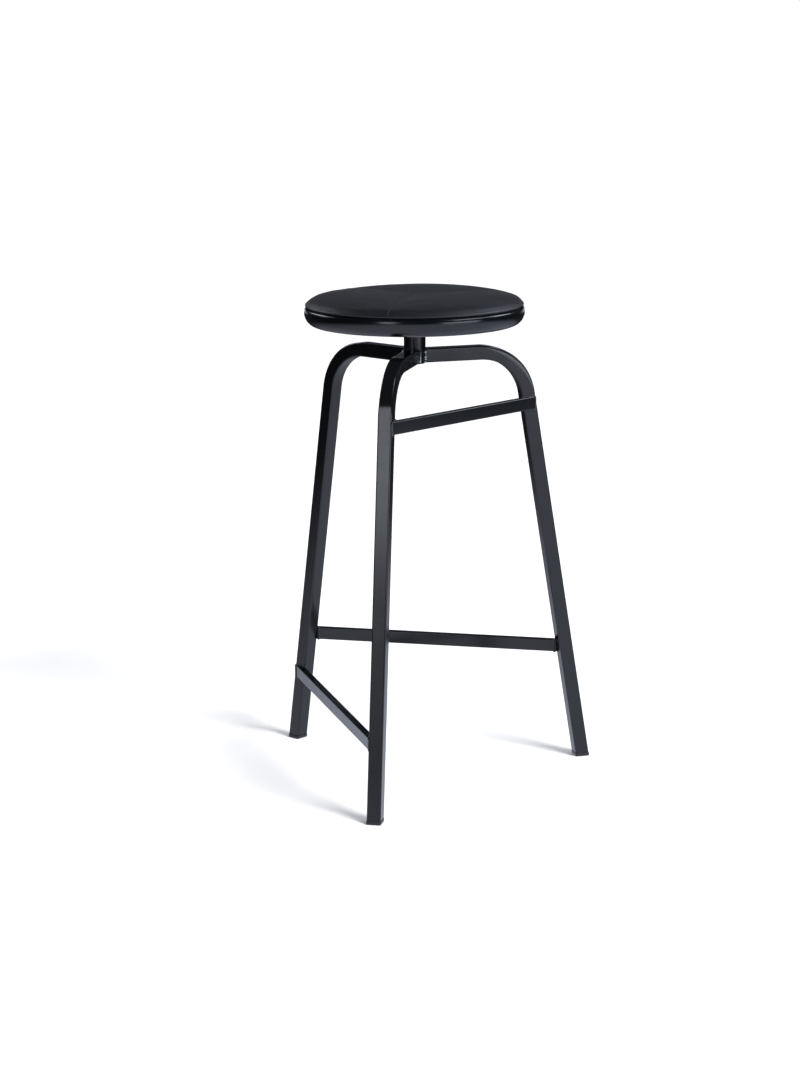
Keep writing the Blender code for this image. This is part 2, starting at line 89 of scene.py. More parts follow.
class Body(Enum):
    """The two CAD bodies."""

    FRAME = "frame"
    SEAT = "seat"


class Slot(Enum):
    """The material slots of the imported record."""

    COAT = "powder_coated_steel"
    ZINC = "zinc_plated_steel"
    NYLON = "nylon"
    SHELL = "shell_plastic"
    PLYWOOD = "plywood"
    FOAM = "foam"
    LEATHER = "leather"


class Leg(Enum):
    """The three legs, each with its direction about the swivel axis in degrees."""

    FRONT = -90.0
    RIGHT = 30.0
    LEFT = 150.0


# ---------------------------------------------------------------- colours, nodes and finishes
def linear(code: str) -> tuple[float, float, float, float]:
    """Turn an sRGB hex colour into linear values.

    Args:
        code: a colour such as "#1a2b3c".

    Returns:
        Red, green, blue and an alpha of one.
    """
    values = [int(code[place:place + 2], 16) / 255 for place in (1, 3, 5)]
    red, green, blue = (v / 12.92 if v <= 0.04045 else ((v + 0.055) / 1.055) ** 2.4 for v in values)
    return red, green, blue, 1.0


def add_node(tree: bpy.types.NodeTree, kind: str, settings: dict[str, Any] | None = None,
             inputs: dict[str | int, Any] | None = None) -> bpy.types.Node:
    """Add one node with its settings and links.

    Args:
        tree: the node tree it goes in.
        kind: the node's type name.
        settings: values of the node's own properties.
        inputs: for each input socket, an output socket to link or a constant.

    Returns:
        The new node.
    """
    node = tree.nodes.new(kind)
    for name, value in (settings or {}).items():
        setattr(node, name, value)
    for name, value in (inputs or {}).items():
        if isinstance(value, bpy.types.NodeSocket):
            tree.links.new(value, node.inputs[name])
        else:
            node.inputs[name].default_value = value
    return node


@dataclass(frozen=True)
class Finish(ABC):
    """What a surface is made of and how it was finished.

    The name is the material's, the colours are sRGB hex and the roughness is the middle value.
    """

    name: str
    colour: str
    roughness: float

    def material(self) -> bpy.types.Material:
        """Give the finish's material, made on its first use.

        Returns:
            The material.
        """
        made = bpy.data.materials.get(self.name)
        if made is not None:
            return made
        made = bpy.data.materials.new(self.name)
        made.use_nodes = True
        tree = made.node_tree
        tree.nodes.clear()
        shader = add_node(tree, "ShaderNodeBsdfPrincipled",
                          inputs={"Base Color": linear(self.colour), "Roughness": self.roughness})
        add_node(tree, "ShaderNodeOutputMaterial", inputs={"Surface": shader.outputs["BSDF"]})
        place = add_node(tree, "ShaderNodeTexCoord").outputs["Object"]
        self.surface(tree, shader, place)
        made.diffuse_color = linear(self.colour)
        return made

    @abstractmethod
    def surface(self, tree: bpy.types.NodeTree, shader: bpy.types.Node, place: bpy.types.NodeSocket) -> None:
        """Add the nodes that give the surface its pattern.

        Args:
            tree: the material's node tree.
            shader: its Principled node.
            place: the point's place on the object, in metres.
        """


@dataclass(frozen=True)
class PowderCoat(Finish):
    """Polyester powder baked on steel: satin black, a faint orange peel and barely uneven gloss."""

    tint: str = "#050608"
    peel: float = 2.2 * MM  # the real peel is about 1 mm wide, drawn coarser so that it shows
    peel_height: float = 0.022 * MM
    cloud: float = 60 * MM
    uneven: float = 0.035  # how far the roughness strays
    clear: float = 0.0  # a clear skin where the powder pooled
    bare: float = 0.0  # the more, the more bright flecks of steel that the powder didn't cover
    fleck: float = 4.5 * MM
    steel: str = "#b9bdc4"

    def surface(self, tree: bpy.types.NodeTree, shader: bpy.types.Node, place: bpy.types.NodeSocket) -> None:
        """Mix a cloudy tint, uneven gloss and the peel.

        Args:
            tree: the material's node tree.
            shader: its Principled node.
            place: the point's place on the object, in metres.
        """
        cloud = add_node(tree, "ShaderNodeTexNoise", inputs={
            "Vector": place, "Scale": 1 / self.cloud, "Detail": 3.0, "Roughness": 0.55})
        mixed = add_node(tree, "ShaderNodeMix", {"data_type": "RGBA"}, {
            0: cloud.outputs["Fac"], 6: linear(self.colour), 7: linear(self.tint)})
        gloss = add_node(tree, "ShaderNodeMapRange", inputs={
            "Value": cloud.outputs["Fac"], "From Min": 0.3, "From Max": 0.7,
            "To Min": self.roughness - self.uneven, "To Max": self.roughness + self.uneven})
        peel = add_node(tree, "ShaderNodeTexNoise", inputs={
            "Vector": place, "Scale": 1 / self.peel, "Detail": 2.0, "Roughness": 0.4})
        bump = add_node(tree, "ShaderNodeBump", inputs={
            "Strength": 1.0, "Distance": self.peel_height, "Height": peel.outputs["Fac"]})
        shader.inputs["Coat Weight"].default_value = self.clear
        if self.bare:
            spots = add_node(tree, "ShaderNodeTexNoise", inputs={
                "Vector": place, "Scale": 1 / self.fleck, "Detail": 1.0})
            steel = add_node(tree, "ShaderNodeMapRange", {"interpolation_type": "SMOOTHSTEP"}, {
                "Value": spots.outputs["Fac"], "From Min": 0.62 - self.bare, "From Max": 0.70 - self.bare})
            mixed = add_node(tree, "ShaderNodeMix", {"data_type": "RGBA"}, {
                0: steel.outputs["Result"], 6: mixed.outputs[2], 7: linear(self.steel)})
            tree.links.new(steel.outputs["Result"], shader.inputs["Metallic"])
        tree.links.new(mixed.outputs[2], shader.inputs["Base Color"])
        tree.links.new(gloss.outputs["Result"], shader.inputs["Roughness"])
        tree.links.new(bump.outputs["Normal"], shader.inputs["Normal"])


@dataclass(frozen=True)
class Leather(Finish):
    """Full-grain cowhide, pigment-dyed black: matt, with a small pebble grain cut by fine creases."""

    # lighter tone for the pebble tops in cloudy patches; the creases keep the darker colour, which is painted
    # shade
    tone_drift_and_crease_shade: str = "#0e1115"
    pebble: float = 1.7 * MM  # real pebbles are near 1 mm, drawn coarser so that they show
    crease_height: float = 0.16 * MM
    wander: float = 1.6 * MM  # how far the creases are bent
    cloud: float = 75 * MM

    def surface(self, tree: bpy.types.NodeTree, shader: bpy.types.Node, place: bpy.types.NodeSocket) -> None:
        """Crease a wandering cell pattern, and let tone and gloss drift over the hide. The tone lifts only
        the pebble tops, so the creases keep the darker colour: painted shade.

        Args:
            tree: the material's node tree.
            shader: its Principled node.
            place: the point's place on the object, in metres.
        """
        wander = add_node(tree, "ShaderNodeTexNoise", inputs={
            "Vector": place, "Scale": 0.5 / self.pebble, "Detail": 2.0})
        bent = add_node(tree, "ShaderNodeMix", {"data_type": "VECTOR"}, {
            0: self.wander, 4: place, 5: wander.outputs["Color"]})
        cells = add_node(tree, "ShaderNodeTexVoronoi", {"feature": "DISTANCE_TO_EDGE"}, {
            "Vector": bent.outputs[1], "Scale": 1 / self.pebble, "Randomness": 0.95})
        pebble = add_node(tree, "ShaderNodeMapRange", {"interpolation_type": "SMOOTHSTEP"}, {
            "Value": cells.outputs["Distance"], "From Min": 0.0, "From Max": 0.32})
        pores = add_node(tree, "ShaderNodeTexNoise", inputs={
            "Vector": place, "Scale": 2.5 / self.pebble, "Detail": 3.0})
        height = add_node(tree, "ShaderNodeMath", {"operation": "MULTIPLY_ADD"}, {
            0: pores.outputs["Fac"], 1: 0.35, 2: pebble.outputs["Result"]})
        bump = add_node(tree, "ShaderNodeBump", inputs={
            "Strength": 0.55, "Distance": self.crease_height, "Height": height.outputs["Value"]})
        cloud = add_node(tree, "ShaderNodeTexNoise", inputs={
            "Vector": place, "Scale": 1 / self.cloud, "Detail": 4.0, "Roughness": 0.6})
        # cloud times pebble: a random drift of tone on the tops, and painted shade in the creases, which stay
        # dark
        share = add_node(tree, "ShaderNodeMath", {"operation": "MULTIPLY"}, {
            0: cloud.outputs["Fac"], 1: pebble.outputs["Result"]})
        mixed = add_node(tree, "ShaderNodeMix", {"data_type": "RGBA"}, {
            0: share.outputs["Value"], 6: linear(self.colour), 7: linear(self.tone_drift_and_crease_shade)})
        gloss = add_node(tree, "ShaderNodeMapRange", inputs={
            "Value": share.outputs["Value"], "From Min": 0.1, "From Max": 0.7,
            "To Min": self.roughness + 0.07, "To Max": self.roughness - 0.05})
        tree.links.new(mixed.outputs[2], shader.inputs["Base Color"])
        tree.links.new(gloss.outputs["Result"], shader.inputs["Roughness"])
        tree.links.new(bump.outputs["Normal"], shader.inputs["Normal"])


@dataclass(frozen=True)
class Moulded(Finish):
    """An injection-moulded plastic: even colour, the mould's own texture and a trace of sink."""

    grain: float = 1.2 * MM
    grain_height: float = 0.01 * MM
    sink: float = 45 * MM
    sink_height: float = 0.05 * MM
    uneven: float = 0.12  # how far the roughness strays, as a share of it

    def surface(self, tree: bpy.types.NodeTree, shader: bpy.types.Node, place: bpy.types.NodeSocket) -> None:
        """Lay a fine grain over a slow waviness, and vary the gloss with it.

        Args:
            tree: the material's node tree.
            shader: its Principled node.
            place: the point's place on the object, in metres.
        """
        sink = add_node(tree, "ShaderNodeTexNoise", inputs={
            "Vector": place, "Scale": 1 / self.sink, "Detail": 1.0})
        grain = add_node(tree, "ShaderNodeTexNoise", inputs={
            "Vector": place, "Scale": 1 / self.grain, "Detail": 3.0})
        slow = add_node(tree, "ShaderNodeBump", inputs={
            "Strength": 1.0, "Distance": self.sink_height, "Height": sink.outputs["Fac"]})
        fine = add_node(tree, "ShaderNodeBump", inputs={
            "Strength": 1.0, "Distance": self.grain_height, "Height": grain.outputs["Fac"],
            "Normal": slow.outputs["Normal"]})
        gloss = add_node(tree, "ShaderNodeMapRange", inputs={
            "Value": grain.outputs["Fac"], "From Min": 0.25, "From Max": 0.75,
            "To Min": self.roughness * (1 - self.uneven),
            "To Max": self.roughness * (1 + self.uneven)})
        tree.links.new(gloss.outputs["Result"], shader.inputs["Roughness"])
        tree.links.new(fine.outputs["Normal"], shader.inputs["Normal"])


@dataclass(frozen=True)
class ZincPlate(Finish):
    """Bright zinc on turned steel: pale metal with fine turning marks and a bluish passivate."""

    passivate: str = "#a9b4bd"
    mark: float = 0.157 * MM
    drifts: float = 90.0  # patches of tint to a metre, about 11 mm each
    uneven: float = 0.07

    def surface(self, tree: bpy.types.NodeTree, shader: bpy.types.Node, place: bpy.types.NodeSocket) -> None:
        """Band the gloss finely along the axis, with a drifting tint.

        Args:
            tree: the material's node tree.
            shader: its Principled node.
            place: the point's place on the object, in metres.
        """
        shader.inputs["Metallic"].default_value = 1.0
        marks = add_node(tree, "ShaderNodeTexWave", {"bands_direction": "Z"}, {
            "Vector": place, "Scale": WAVE_STEP / self.mark, "Distortion": 2.0, "Detail": 2.0})
        drift = add_node(tree, "ShaderNodeTexNoise", inputs={
            "Vector": place, "Scale": self.drifts, "Detail": 3.0})
        mixed = add_node(tree, "ShaderNodeMix", {"data_type": "RGBA"}, {
            0: drift.outputs["Fac"], 6: linear(self.colour), 7: linear(self.passivate)})
        gloss = add_node(tree, "ShaderNodeMapRange", inputs={
            "Value": marks.outputs["Fac"],
            "To Min": self.roughness - self.uneven, "To Max": self.roughness + self.uneven})
        tree.links.new(mixed.outputs[2], shader.inputs["Base Color"])
        tree.links.new(gloss.outputs["Result"], shader.inputs["Roughness"])


@dataclass(frozen=True)
class BirchPlywood(Finish):
    """Sanded birch plywood: pale face with long grain, and light and dark plies on its edge."""

    late: str = "#b48a58"
    ply: float = 1.4 * MM
    grain: float = 2.5 * MM
    grain_height: float = 0.05 * MM
    along: float = 0.06  # the grain is stretched to about 40 mm along the face

    def surface(self, tree: bpy.types.NodeTree, shader: bpy.types.Node, place: bpy.types.NodeSocket) -> None:
        """Stretch the grain along X and band the plies along Z.

        Args:
            tree: the material's node tree.
            shader: its Principled node.
            place: the point's place on the object, in metres.
        """
        long = add_node(tree, "ShaderNodeMapping", inputs={"Vector": place, "Scale": (self.along, 1.0, 1.0)})
        grain = add_node(tree, "ShaderNodeTexNoise", inputs={
            "Vector": long.outputs["Vector"], "Scale": 1 / self.grain, "Detail": 4.0})
        plies = add_node(tree, "ShaderNodeTexWave", {"bands_direction": "Z"}, {
            "Vector": place, "Scale": WAVE_STEP / self.ply, "Distortion": 0.3})
        share = add_node(tree, "ShaderNodeMath", {"operation": "MULTIPLY"}, {
            0: grain.outputs["Fac"], 1: plies.outputs["Fac"]})
        mixed = add_node(tree, "ShaderNodeMix", {"data_type": "RGBA"}, {
            0: share.outputs["Value"], 6: linear(self.colour), 7: linear(self.late)})
        bump = add_node(tree, "ShaderNodeBump", inputs={
            "Strength": 0.5, "Distance": self.grain_height, "Height": grain.outputs["Fac"]})
        tree.links.new(mixed.outputs[2], shader.inputs["Base Color"])
        tree.links.new(bump.outputs["Normal"], shader.inputs["Normal"])


@dataclass(frozen=True)
class OpenFoam(Finish):
    """Cut polyurethane foam: dull, with open cells just under a millimetre wide."""

    # darker colour in the middle of each cell: painted shade in the open pores
    painted_cell_shade: str = "#a89c74"
    cell: float = 0.9 * MM
    cell_depth: float = 0.3 * MM

    def surface(self, tree: bpy.types.NodeTree, shader: bpy.types.Node, place: bpy.types.NodeSocket) -> None:
        """Paint shade into the cells and sink them.

        Args:
            tree: the material's node tree.
            shader: its Principled node.
            place: the point's place on the object, in metres.
        """
        cells = add_node(tree, "ShaderNodeTexVoronoi", inputs={"Vector": place, "Scale": 1 / self.cell})
        # painted shade: the cells' sunk middles take the darker colour
        mixed = add_node(tree, "ShaderNodeMix", {"data_type": "RGBA"}, {
            0: cells.outputs["Distance"], 6: linear(self.painted_cell_shade), 7: linear(self.colour)})
        bump = add_node(tree, "ShaderNodeBump", inputs={
            "Strength": 0.8, "Distance": self.cell_depth, "Height": cells.outputs["Distance"]})
        tree.links.new(mixed.outputs[2], shader.inputs["Base Color"])
        tree.links.new(bump.outputs["Normal"], shader.inputs["Normal"])


@dataclass(frozen=True)
class FloorPaint(Finish):
    """Emulsion rolled on a floor: dead matt pale grey, hardly mottled."""

    mottles: float = 6.0  # to a metre
    uneven: float = 0.05

    def surface(self, tree: bpy.types.NodeTree, shader: bpy.types.Node, place: bpy.types.NodeSocket) -> None:
        """Mottle the roughness a little, so that the paint isn't one flat value.

        Args:
            tree: the material's node tree.
            shader: its Principled node.
            place: the point's place on the object, in metres.
        """
        mottle = add_node(tree, "ShaderNodeTexNoise", inputs={
            "Vector": place, "Scale": self.mottles, "Detail": 4.0})
        gloss = add_node(tree, "ShaderNodeMapRange", inputs={
            "Value": mottle.outputs["Fac"],
            "To Min": self.roughness - self.uneven, "To Max": self.roughness + self.uneven})
        shader.inputs["Specular IOR Level"].default_value = 0.0
        tree.links.new(gloss.outputs["Result"], shader.inputs["Roughness"])


COAT = PowderCoat("satin_black_powder_coat", "#030405", 0.17)
# Powder runs thicker over a bead and bakes glossier there.
BEAD_COAT = PowderCoat("powder_coat_on_weld", "#060709", 0.10, peel=3.0 * MM, clear=1.0)
SPATTER = PowderCoat("powder_coat_with_spatter", "#060709", 0.12, peel=3.0 * MM, clear=1.0, bare=0.17)
HIDE = Leather("black_cowhide_leather", "#08090c", 0.43)
THREAD = Moulded("bonded_black_thread", "#0f1012", 0.55, grain=0.6 * MM, grain_height=0.08 * MM)
GLOSS_SHELL = Moulded("glossy_black_abs", "#020304", 0.19)
MATT_NYLON = Moulded("moulded_black_nylon", "#0c0d0f", 0.40, grain_height=0.02 * MM)
BRIGHT_ZINC = ZincPlate("bright_zinc_plate", "#c4c7ca", 0.27)
PLYWOOD = BirchPlywood("sanded_birch_plywood", "#dcc08f", 0.55)
FOAM = OpenFoam("cut_polyurethane_foam", "#ddd3ab", 0.95)
FLOOR_PAINT = FloorPaint("matt_pale_floor_paint", "#ababac", 0.9)


# ---------------------------------------------------------------- meshes
@dataclass(frozen=True)
class Dress:
    """How a piece is dressed and what it moves with: finish, body, record slot and the nodes it replaces."""

    finish: Finish
    body: Body
    slot: Slot
    nodes: tuple[str, ...] = ()


class Assembly(Protocol):
    """A group of pieces that are made together."""

    def build(self) -> list[bpy.types.Object]:
        """Make the pieces."""


def span(node: str) -> float:
    """Half the width of a CAD node, along X."""
    low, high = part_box(node)
    return (high.x - low.x) / 2


def circle(radius: float, height: float, count: int) -> Ring:
    """Points of a level circle about the upright axis."""
    turns = [2 * pi * k / count for k in range(count)]
    return [Vector((radius * cos(a), radius * sin(a), height)) for a in turns]


def loft(rings: list[Ring], wrap: bool = False) -> bmesh.types.BMesh:
    """Skin a row of closed rings that have the same number of points.

    Args:
        rings: the rings in order.
        wrap: join the last ring to the first, rather than cap both ends.

    Returns:
        A closed mesh facing outwards.
    """
    bm = bmesh.new()
    rows = [[bm.verts.new(point) for point in ring] for ring in rings]
    count = len(rings[0])
    for low, high in zip(rows, rows[1:] + rows[:1] if wrap else rows[1:]):
        for place in range(count):
            after = (place + 1) % count
            bm.faces.new((low[place], low[after], high[after], high[place]))
    if not wrap:
        bm.faces.new(reversed(rows[0]))
        bm.faces.new(rows[-1])
    return bm


def add_piece(name: str, bm: bmesh.types.BMesh, dress: Dress, at: Vector | None = None) -> bpy.types.Object:
    """Turn a mesh into a shown piece of the stool.

    Args:
        name: the piece's name.
        bm: its mesh, freed here.
        dress: its finish, body, slot and replaced nodes.
        at: how far it is moved first.

    Returns:
        The new object, at the origin, with its place in its vertices.
    """
    bmesh.ops.remove_doubles(bm, verts=bm.verts, dist=WELD_LENGTH)
    bmesh.ops.recalc_face_normals(bm, faces=bm.faces)
    if at is not None:
        bmesh.ops.translate(bm, vec=at, verts=bm.verts)
    mesh = bpy.data.meshes.new(name)
    bm.to_mesh(mesh)
    bm.free()
    mesh.shade_smooth()
    mesh.set_sharp_from_angle(angle=SMOOTH_BELOW)
    mesh.materials.append(dress.finish.material())
    piece = bpy.data.objects.new(name, mesh)
    bpy.context.scene.collection.objects.link(piece)
    true_flats = piece.modifiers.new("true_flats", "WEIGHTED_NORMAL")  # large faces shade flat
    true_flats.keep_sharp = True
    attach(piece, dress.body.value)
    if dress.nodes:
        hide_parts(*dress.nodes)
    return piece


def turn(profile: Profile, steps: int, closed: bool = False) -> bmesh.types.BMesh:
    """Turn a profile about the upright axis.

    Args:
        profile: (radius, height) points; an open one starts and ends on the axis.
        steps: how many faces go round.
        closed: whether the profile is a loop that stays off the axis.

    Returns:
        A closed mesh.
    """
    bm = bmesh.new()
    rows = []
    for step in range(steps):
        angle = 2 * pi * step / steps
        rows.append([bm.verts.new((r * cos(angle), r * sin(angle), z)) for r, z in profile])
    last = len(profile) if closed else len(profile) - 1
    for row, following in zip(rows, rows[1:] + rows[:1]):
        for place in range(last):
            after = (place + 1) % len(profile)
            bm.faces.new((row[place], row[after], following[after], following[place]))
    bmesh.ops.remove_doubles(bm, verts=bm.verts, dist=WELD_LENGTH)
    bmesh.ops.dissolve_degenerate(bm, edges=bm.edges, dist=WELD_LENGTH / 10)
    return bm


def arc(centre: tuple[float, float], size: tuple[float, float], start: float, end: float,
        steps: int) -> Profile:
    """Points of an elliptic arc; angles in degrees, 0 outwards and 90 up."""
    turns = [radians(start + (end - start) * step / steps) for step in range(steps + 1)]
    return [(centre[0] + size[0] * cos(a), centre[1] + size[1] * sin(a)) for a in turns]


def rounded_corners(profile: Profile, radius: float, steps: int = 3, most: float = 0.45) -> Profile:
    """Round every corner of a closed profile with a small radius.

    Args:
        profile: the corners in order.
        radius: how far from each corner the rounding starts.
        steps: points along each rounding, less one.
        most: the largest share of a side that a rounding takes.

    Returns:
        The rounded loop.
    """
    out: Profile = []
    count = len(profile)
    for place, corner in enumerate(profile):
        here = Vector(corner)
        before, after = Vector(profile[place - 1]), Vector(profile[(place + 1) % count])
        reach = min(radius, (before - here).length * most, (after - here).length * most)
        start = here + (before - here).normalized() * reach
        end = here + (after - here).normalized() * reach
        for step in range(steps + 1):
            t = step / steps
            point = start * (1 - t) ** 2 + here * 2 * t * (1 - t) + end * t ** 2
            out.append((point.x, point.y))
    return out


def outline(width: float, height: float, corner: float, steps: int = 5, flow: float = 0.0) -> Profile:
    """A rectangle with rounded corners, about the origin: a tube's section.

    Args:
        width: its width.
        height: its height.
        corner: the radius of its corners.
        steps: how many sides a corner has.
        flow: how much further down the sides the two upper corners reach.

    Returns:
        The loop, from the upper right corner round.
    """
    points: Profile = []
    for turn_number, (right, up) in enumerate(((1, 1), (-1, 1), (-1, -1), (1, -1))):
        tall = corner + (flow if up > 0 else 0.0)
        middle = (right * (width / 2 - corner), up * (height / 2 - tall))
        points += arc(middle, (corner, tall), turn_number * 90, turn_number * 90 + 90, steps)
    return points


def turned_about(rings: list[Ring], azimuth: float) -> list[Ring]:
    """Turn rings about the upright axis by an azimuth in degrees."""
    spin = Matrix.Rotation(radians(azimuth), 3, "Z")
    return [[spin @ point for point in ring] for ring in rings]


@dataclass(frozen=True)
class WeldBead:
    """A hand-laid weld: overlapping round ripples that taper out at both ends. Shares are of its radius."""

    radius: float
    ripple: float = 2.7 * MM
    sides: int = 12
    rings_to_ripple: int = 7
    easings: int = 4  # how often the corners of the path are evened out
    valley: float = 0.66  # share left between two ripples
    crest: float = 0.38  # share that a ripple adds at its middle
    tip: float = 0.35  # share left at the ends
    run_in: float = 9.0  # rings over which the ends would widen by a whole radius

    def eased(self, path: Ring) -> Ring:
        """Put even points along a path and ease its corners.

        Args:
            path: the points it joins.

        Returns:
            The path in fine steps.
        """
        fine: Ring = []
        step = self.ripple / self.rings_to_ripple
        for start, end in zip(path, path[1:]):
            count = max(1, round((end - start).length / step))
            fine += [start.lerp(end, k / count) for k in range(count)]
        fine.append(path[-1])
        for _ in range(self.easings):
            inner = [(a + b * 2 + c) / 4 for a, b, c in zip(fine, fine[1:], fine[2:])]
            fine = [fine[0], *inner, fine[-1]]
        return fine

    def half_width(self, gone: float, rings: int) -> float:
        """Half the bead's width at one ring.

        Args:
            gone: how far along the bead the ring is.
            rings: how many rings away the nearer end is.

        Returns:
            Half the width.
        """
        count = gone / self.ripple
        swell = self.valley + self.crest * sqrt(max(0.0, 1 - (2 * (count % 1.0) - 1) ** 2))
        wander = 1 + 0.05 * sin(count * 1.7) + 0.04 * sin(count * 0.61 + 1)
        return self.radius * swell * wander * min(1.0, self.tip + rings / self.run_in)

    def lay(self, path: Ring) -> bmesh.types.BMesh:
        """Lay the bead along a path.

        Args:
            path: the points it follows.

        Returns:
            A closed mesh.
        """
        fine = self.eased(path)
        total = len(fine) - 1
        rings, gone = [], 0.0
        across = (fine[1] - fine[0]).orthogonal().normalized()
        for place, point in enumerate(fine):
            along = (fine[min(place + 1, total)] - fine[max(place - 1, 0)]).normalized()
            across = (across - along * across.dot(along)).normalized()
            other = along.cross(across)
            if place:
                gone += (point - fine[place - 1]).length
            size = self.half_width(gone, min(place, total - place))
            turns = [2 * pi * k / self.sides for k in range(self.sides)]
            rings.append([point + (across * cos(a) + other * sin(a)) * size for a in turns])
        return loft(rings)


def joined(meshes: list[bmesh.types.BMesh]) -> bmesh.types.BMesh:
    """Put several meshes in one.

    Args:
        meshes: the meshes, freed here.

    Returns:
        The one mesh.
    """
    bm = bmesh.new()
    for part in meshes:
        keep = bpy.data.meshes.new("joined")
        part.to_mesh(keep)
        part.free()
        bm.from_mesh(keep)
        bpy.data.meshes.remove(keep)
    return bm


# ---------------------------------------------------------------- the welded frame
@dataclass(frozen=True)
class Axis:
    """The swivel axis: where the upright tube's middle is."""

    place: Vector

    @classmethod
    def of_hub(cls) -> "Axis":
        """Read the axis from the hub tube's box.

        Returns:
            The axis.
        """
        low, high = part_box("hub_tube")
        return cls(Vector(((low.x + high.x) / 2, (low.y + high.y) / 2, 0.0)))


@dataclass(frozen=True)
class BentLegs:
    """Three square tubes, each bent once, coped to the hub tube and cut level above its glide."""

    axis: Axis
    side: float = 22 * MM
    wall: float = 1.5 * MM
    corner: float = 2.2 * MM
    least_corner: float = 0.5 * MM
    bend_radius: float = 77 * MM
    splay: float = radians(8.92)
    foot_radius: float = 276 * MM
    hub_radius: float = 16.85 * MM
    bend_steps: int = 40
    bend_flow: float = 7.0 * MM  # how much further down the sides the outer corners reach in the bend

    @property
    def cut_height(self) -> float:
        """Height of the leg's lower end."""
        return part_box("leg_front")[0].z

    @property
    def arm_height(self) -> float:
        """Height of the arm's centre line."""
        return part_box("leg_front")[1].z - self.side / 2

    def path(self) -> list[tuple[Vector, Vector]]:
        """Lay out the centre line in the plane of one leg.

        Returns:
            Points from hub to foot, each with the direction there.
        """
        turned = pi / 2 - self.splay
        knee = self.foot_radius - self.arm_height * tan(self.splay)
        start = knee - self.bend_radius * tan(turned / 2)
        points = [(Vector((self.hub_radius, 0, self.arm_height)), Vector((1, 0, 0)))]
        for step in range(self.bend_steps + 1):
            a = pi / 2 - turned * step / self.bend_steps
            centre = Vector((start + self.bend_radius * cos(a), 0,
                             self.arm_height - self.bend_radius + self.bend_radius * sin(a)))
            points.append((centre, Vector((sin(a), 0, -cos(a)))))
        foot = Vector((self.radius_at(self.cut_height), 0, self.cut_height))
        points.append((foot, Vector((sin(self.splay), 0, -cos(self.splay)))))
        return points

    def skin(self, inset: float) -> list[Ring]:
        """Rings of one skin of the tube, its ends coped to the hub and cut level.

        Args:
            inset: how far inside the tube's face the skin is.

        Returns:
            Rings from hub to foot.
        """
        path = self.path()
        side = self.side - 2 * inset
        corner = max(self.corner - inset, self.least_corner)
        rings = []
        for place, (centre, along) in enumerate(path):
            up = Vector((-along.z, 0, along.x))
            bent = sin(pi * min(1.0, max(0.0, (place - 1) / self.bend_steps)))
            section = outline(side, side, corner, flow=self.bend_flow * bent)
            ring = [centre + Vector((0, y, 0)) + up * z for y, z in section]
            if place == 0:
                reach = self.hub_radius - WELD_IN
                ring = [Vector((sqrt(reach ** 2 - p.y ** 2), p.y, p.z)) for p in ring]
            elif place == len(path) - 1:
                ring = [p + along * ((p.z - self.cut_height) / -along.z) for p in ring]
            rings.append(ring)
        return rings

    def build(self) -> list[bpy.types.Object]:
        """Make the three legs.

        Returns:
            The legs.
        """
        rings = self.skin(0.0) + list(reversed(self.skin(self.wall)))
        made = []
        for leg in Leg:
            name = leg.name.lower()
            dress = Dress(COAT, Body.FRAME, Slot.COAT, (f"leg_{name}",))
            made.append(add_piece(f"bent_leg_{name}", loft(turned_about(rings, leg.value), wrap=True), dress,
                                  self.axis.place))
        return made

    def radius_at(self, height: float) -> float:
        """Distance of the leg's centre line from the axis at a height below the bend."""
        return self.foot_radius - height * tan(self.splay)


class Footrest(Enum):
    """Each footrest bar, with the two legs it joins, the second 120 degrees on from the first."""

    UPPER = (Leg.FRONT, Leg.RIGHT)
    MIDDLE = (Leg.RIGHT, Leg.LEFT)
    LOWER = (Leg.LEFT, Leg.FRONT)


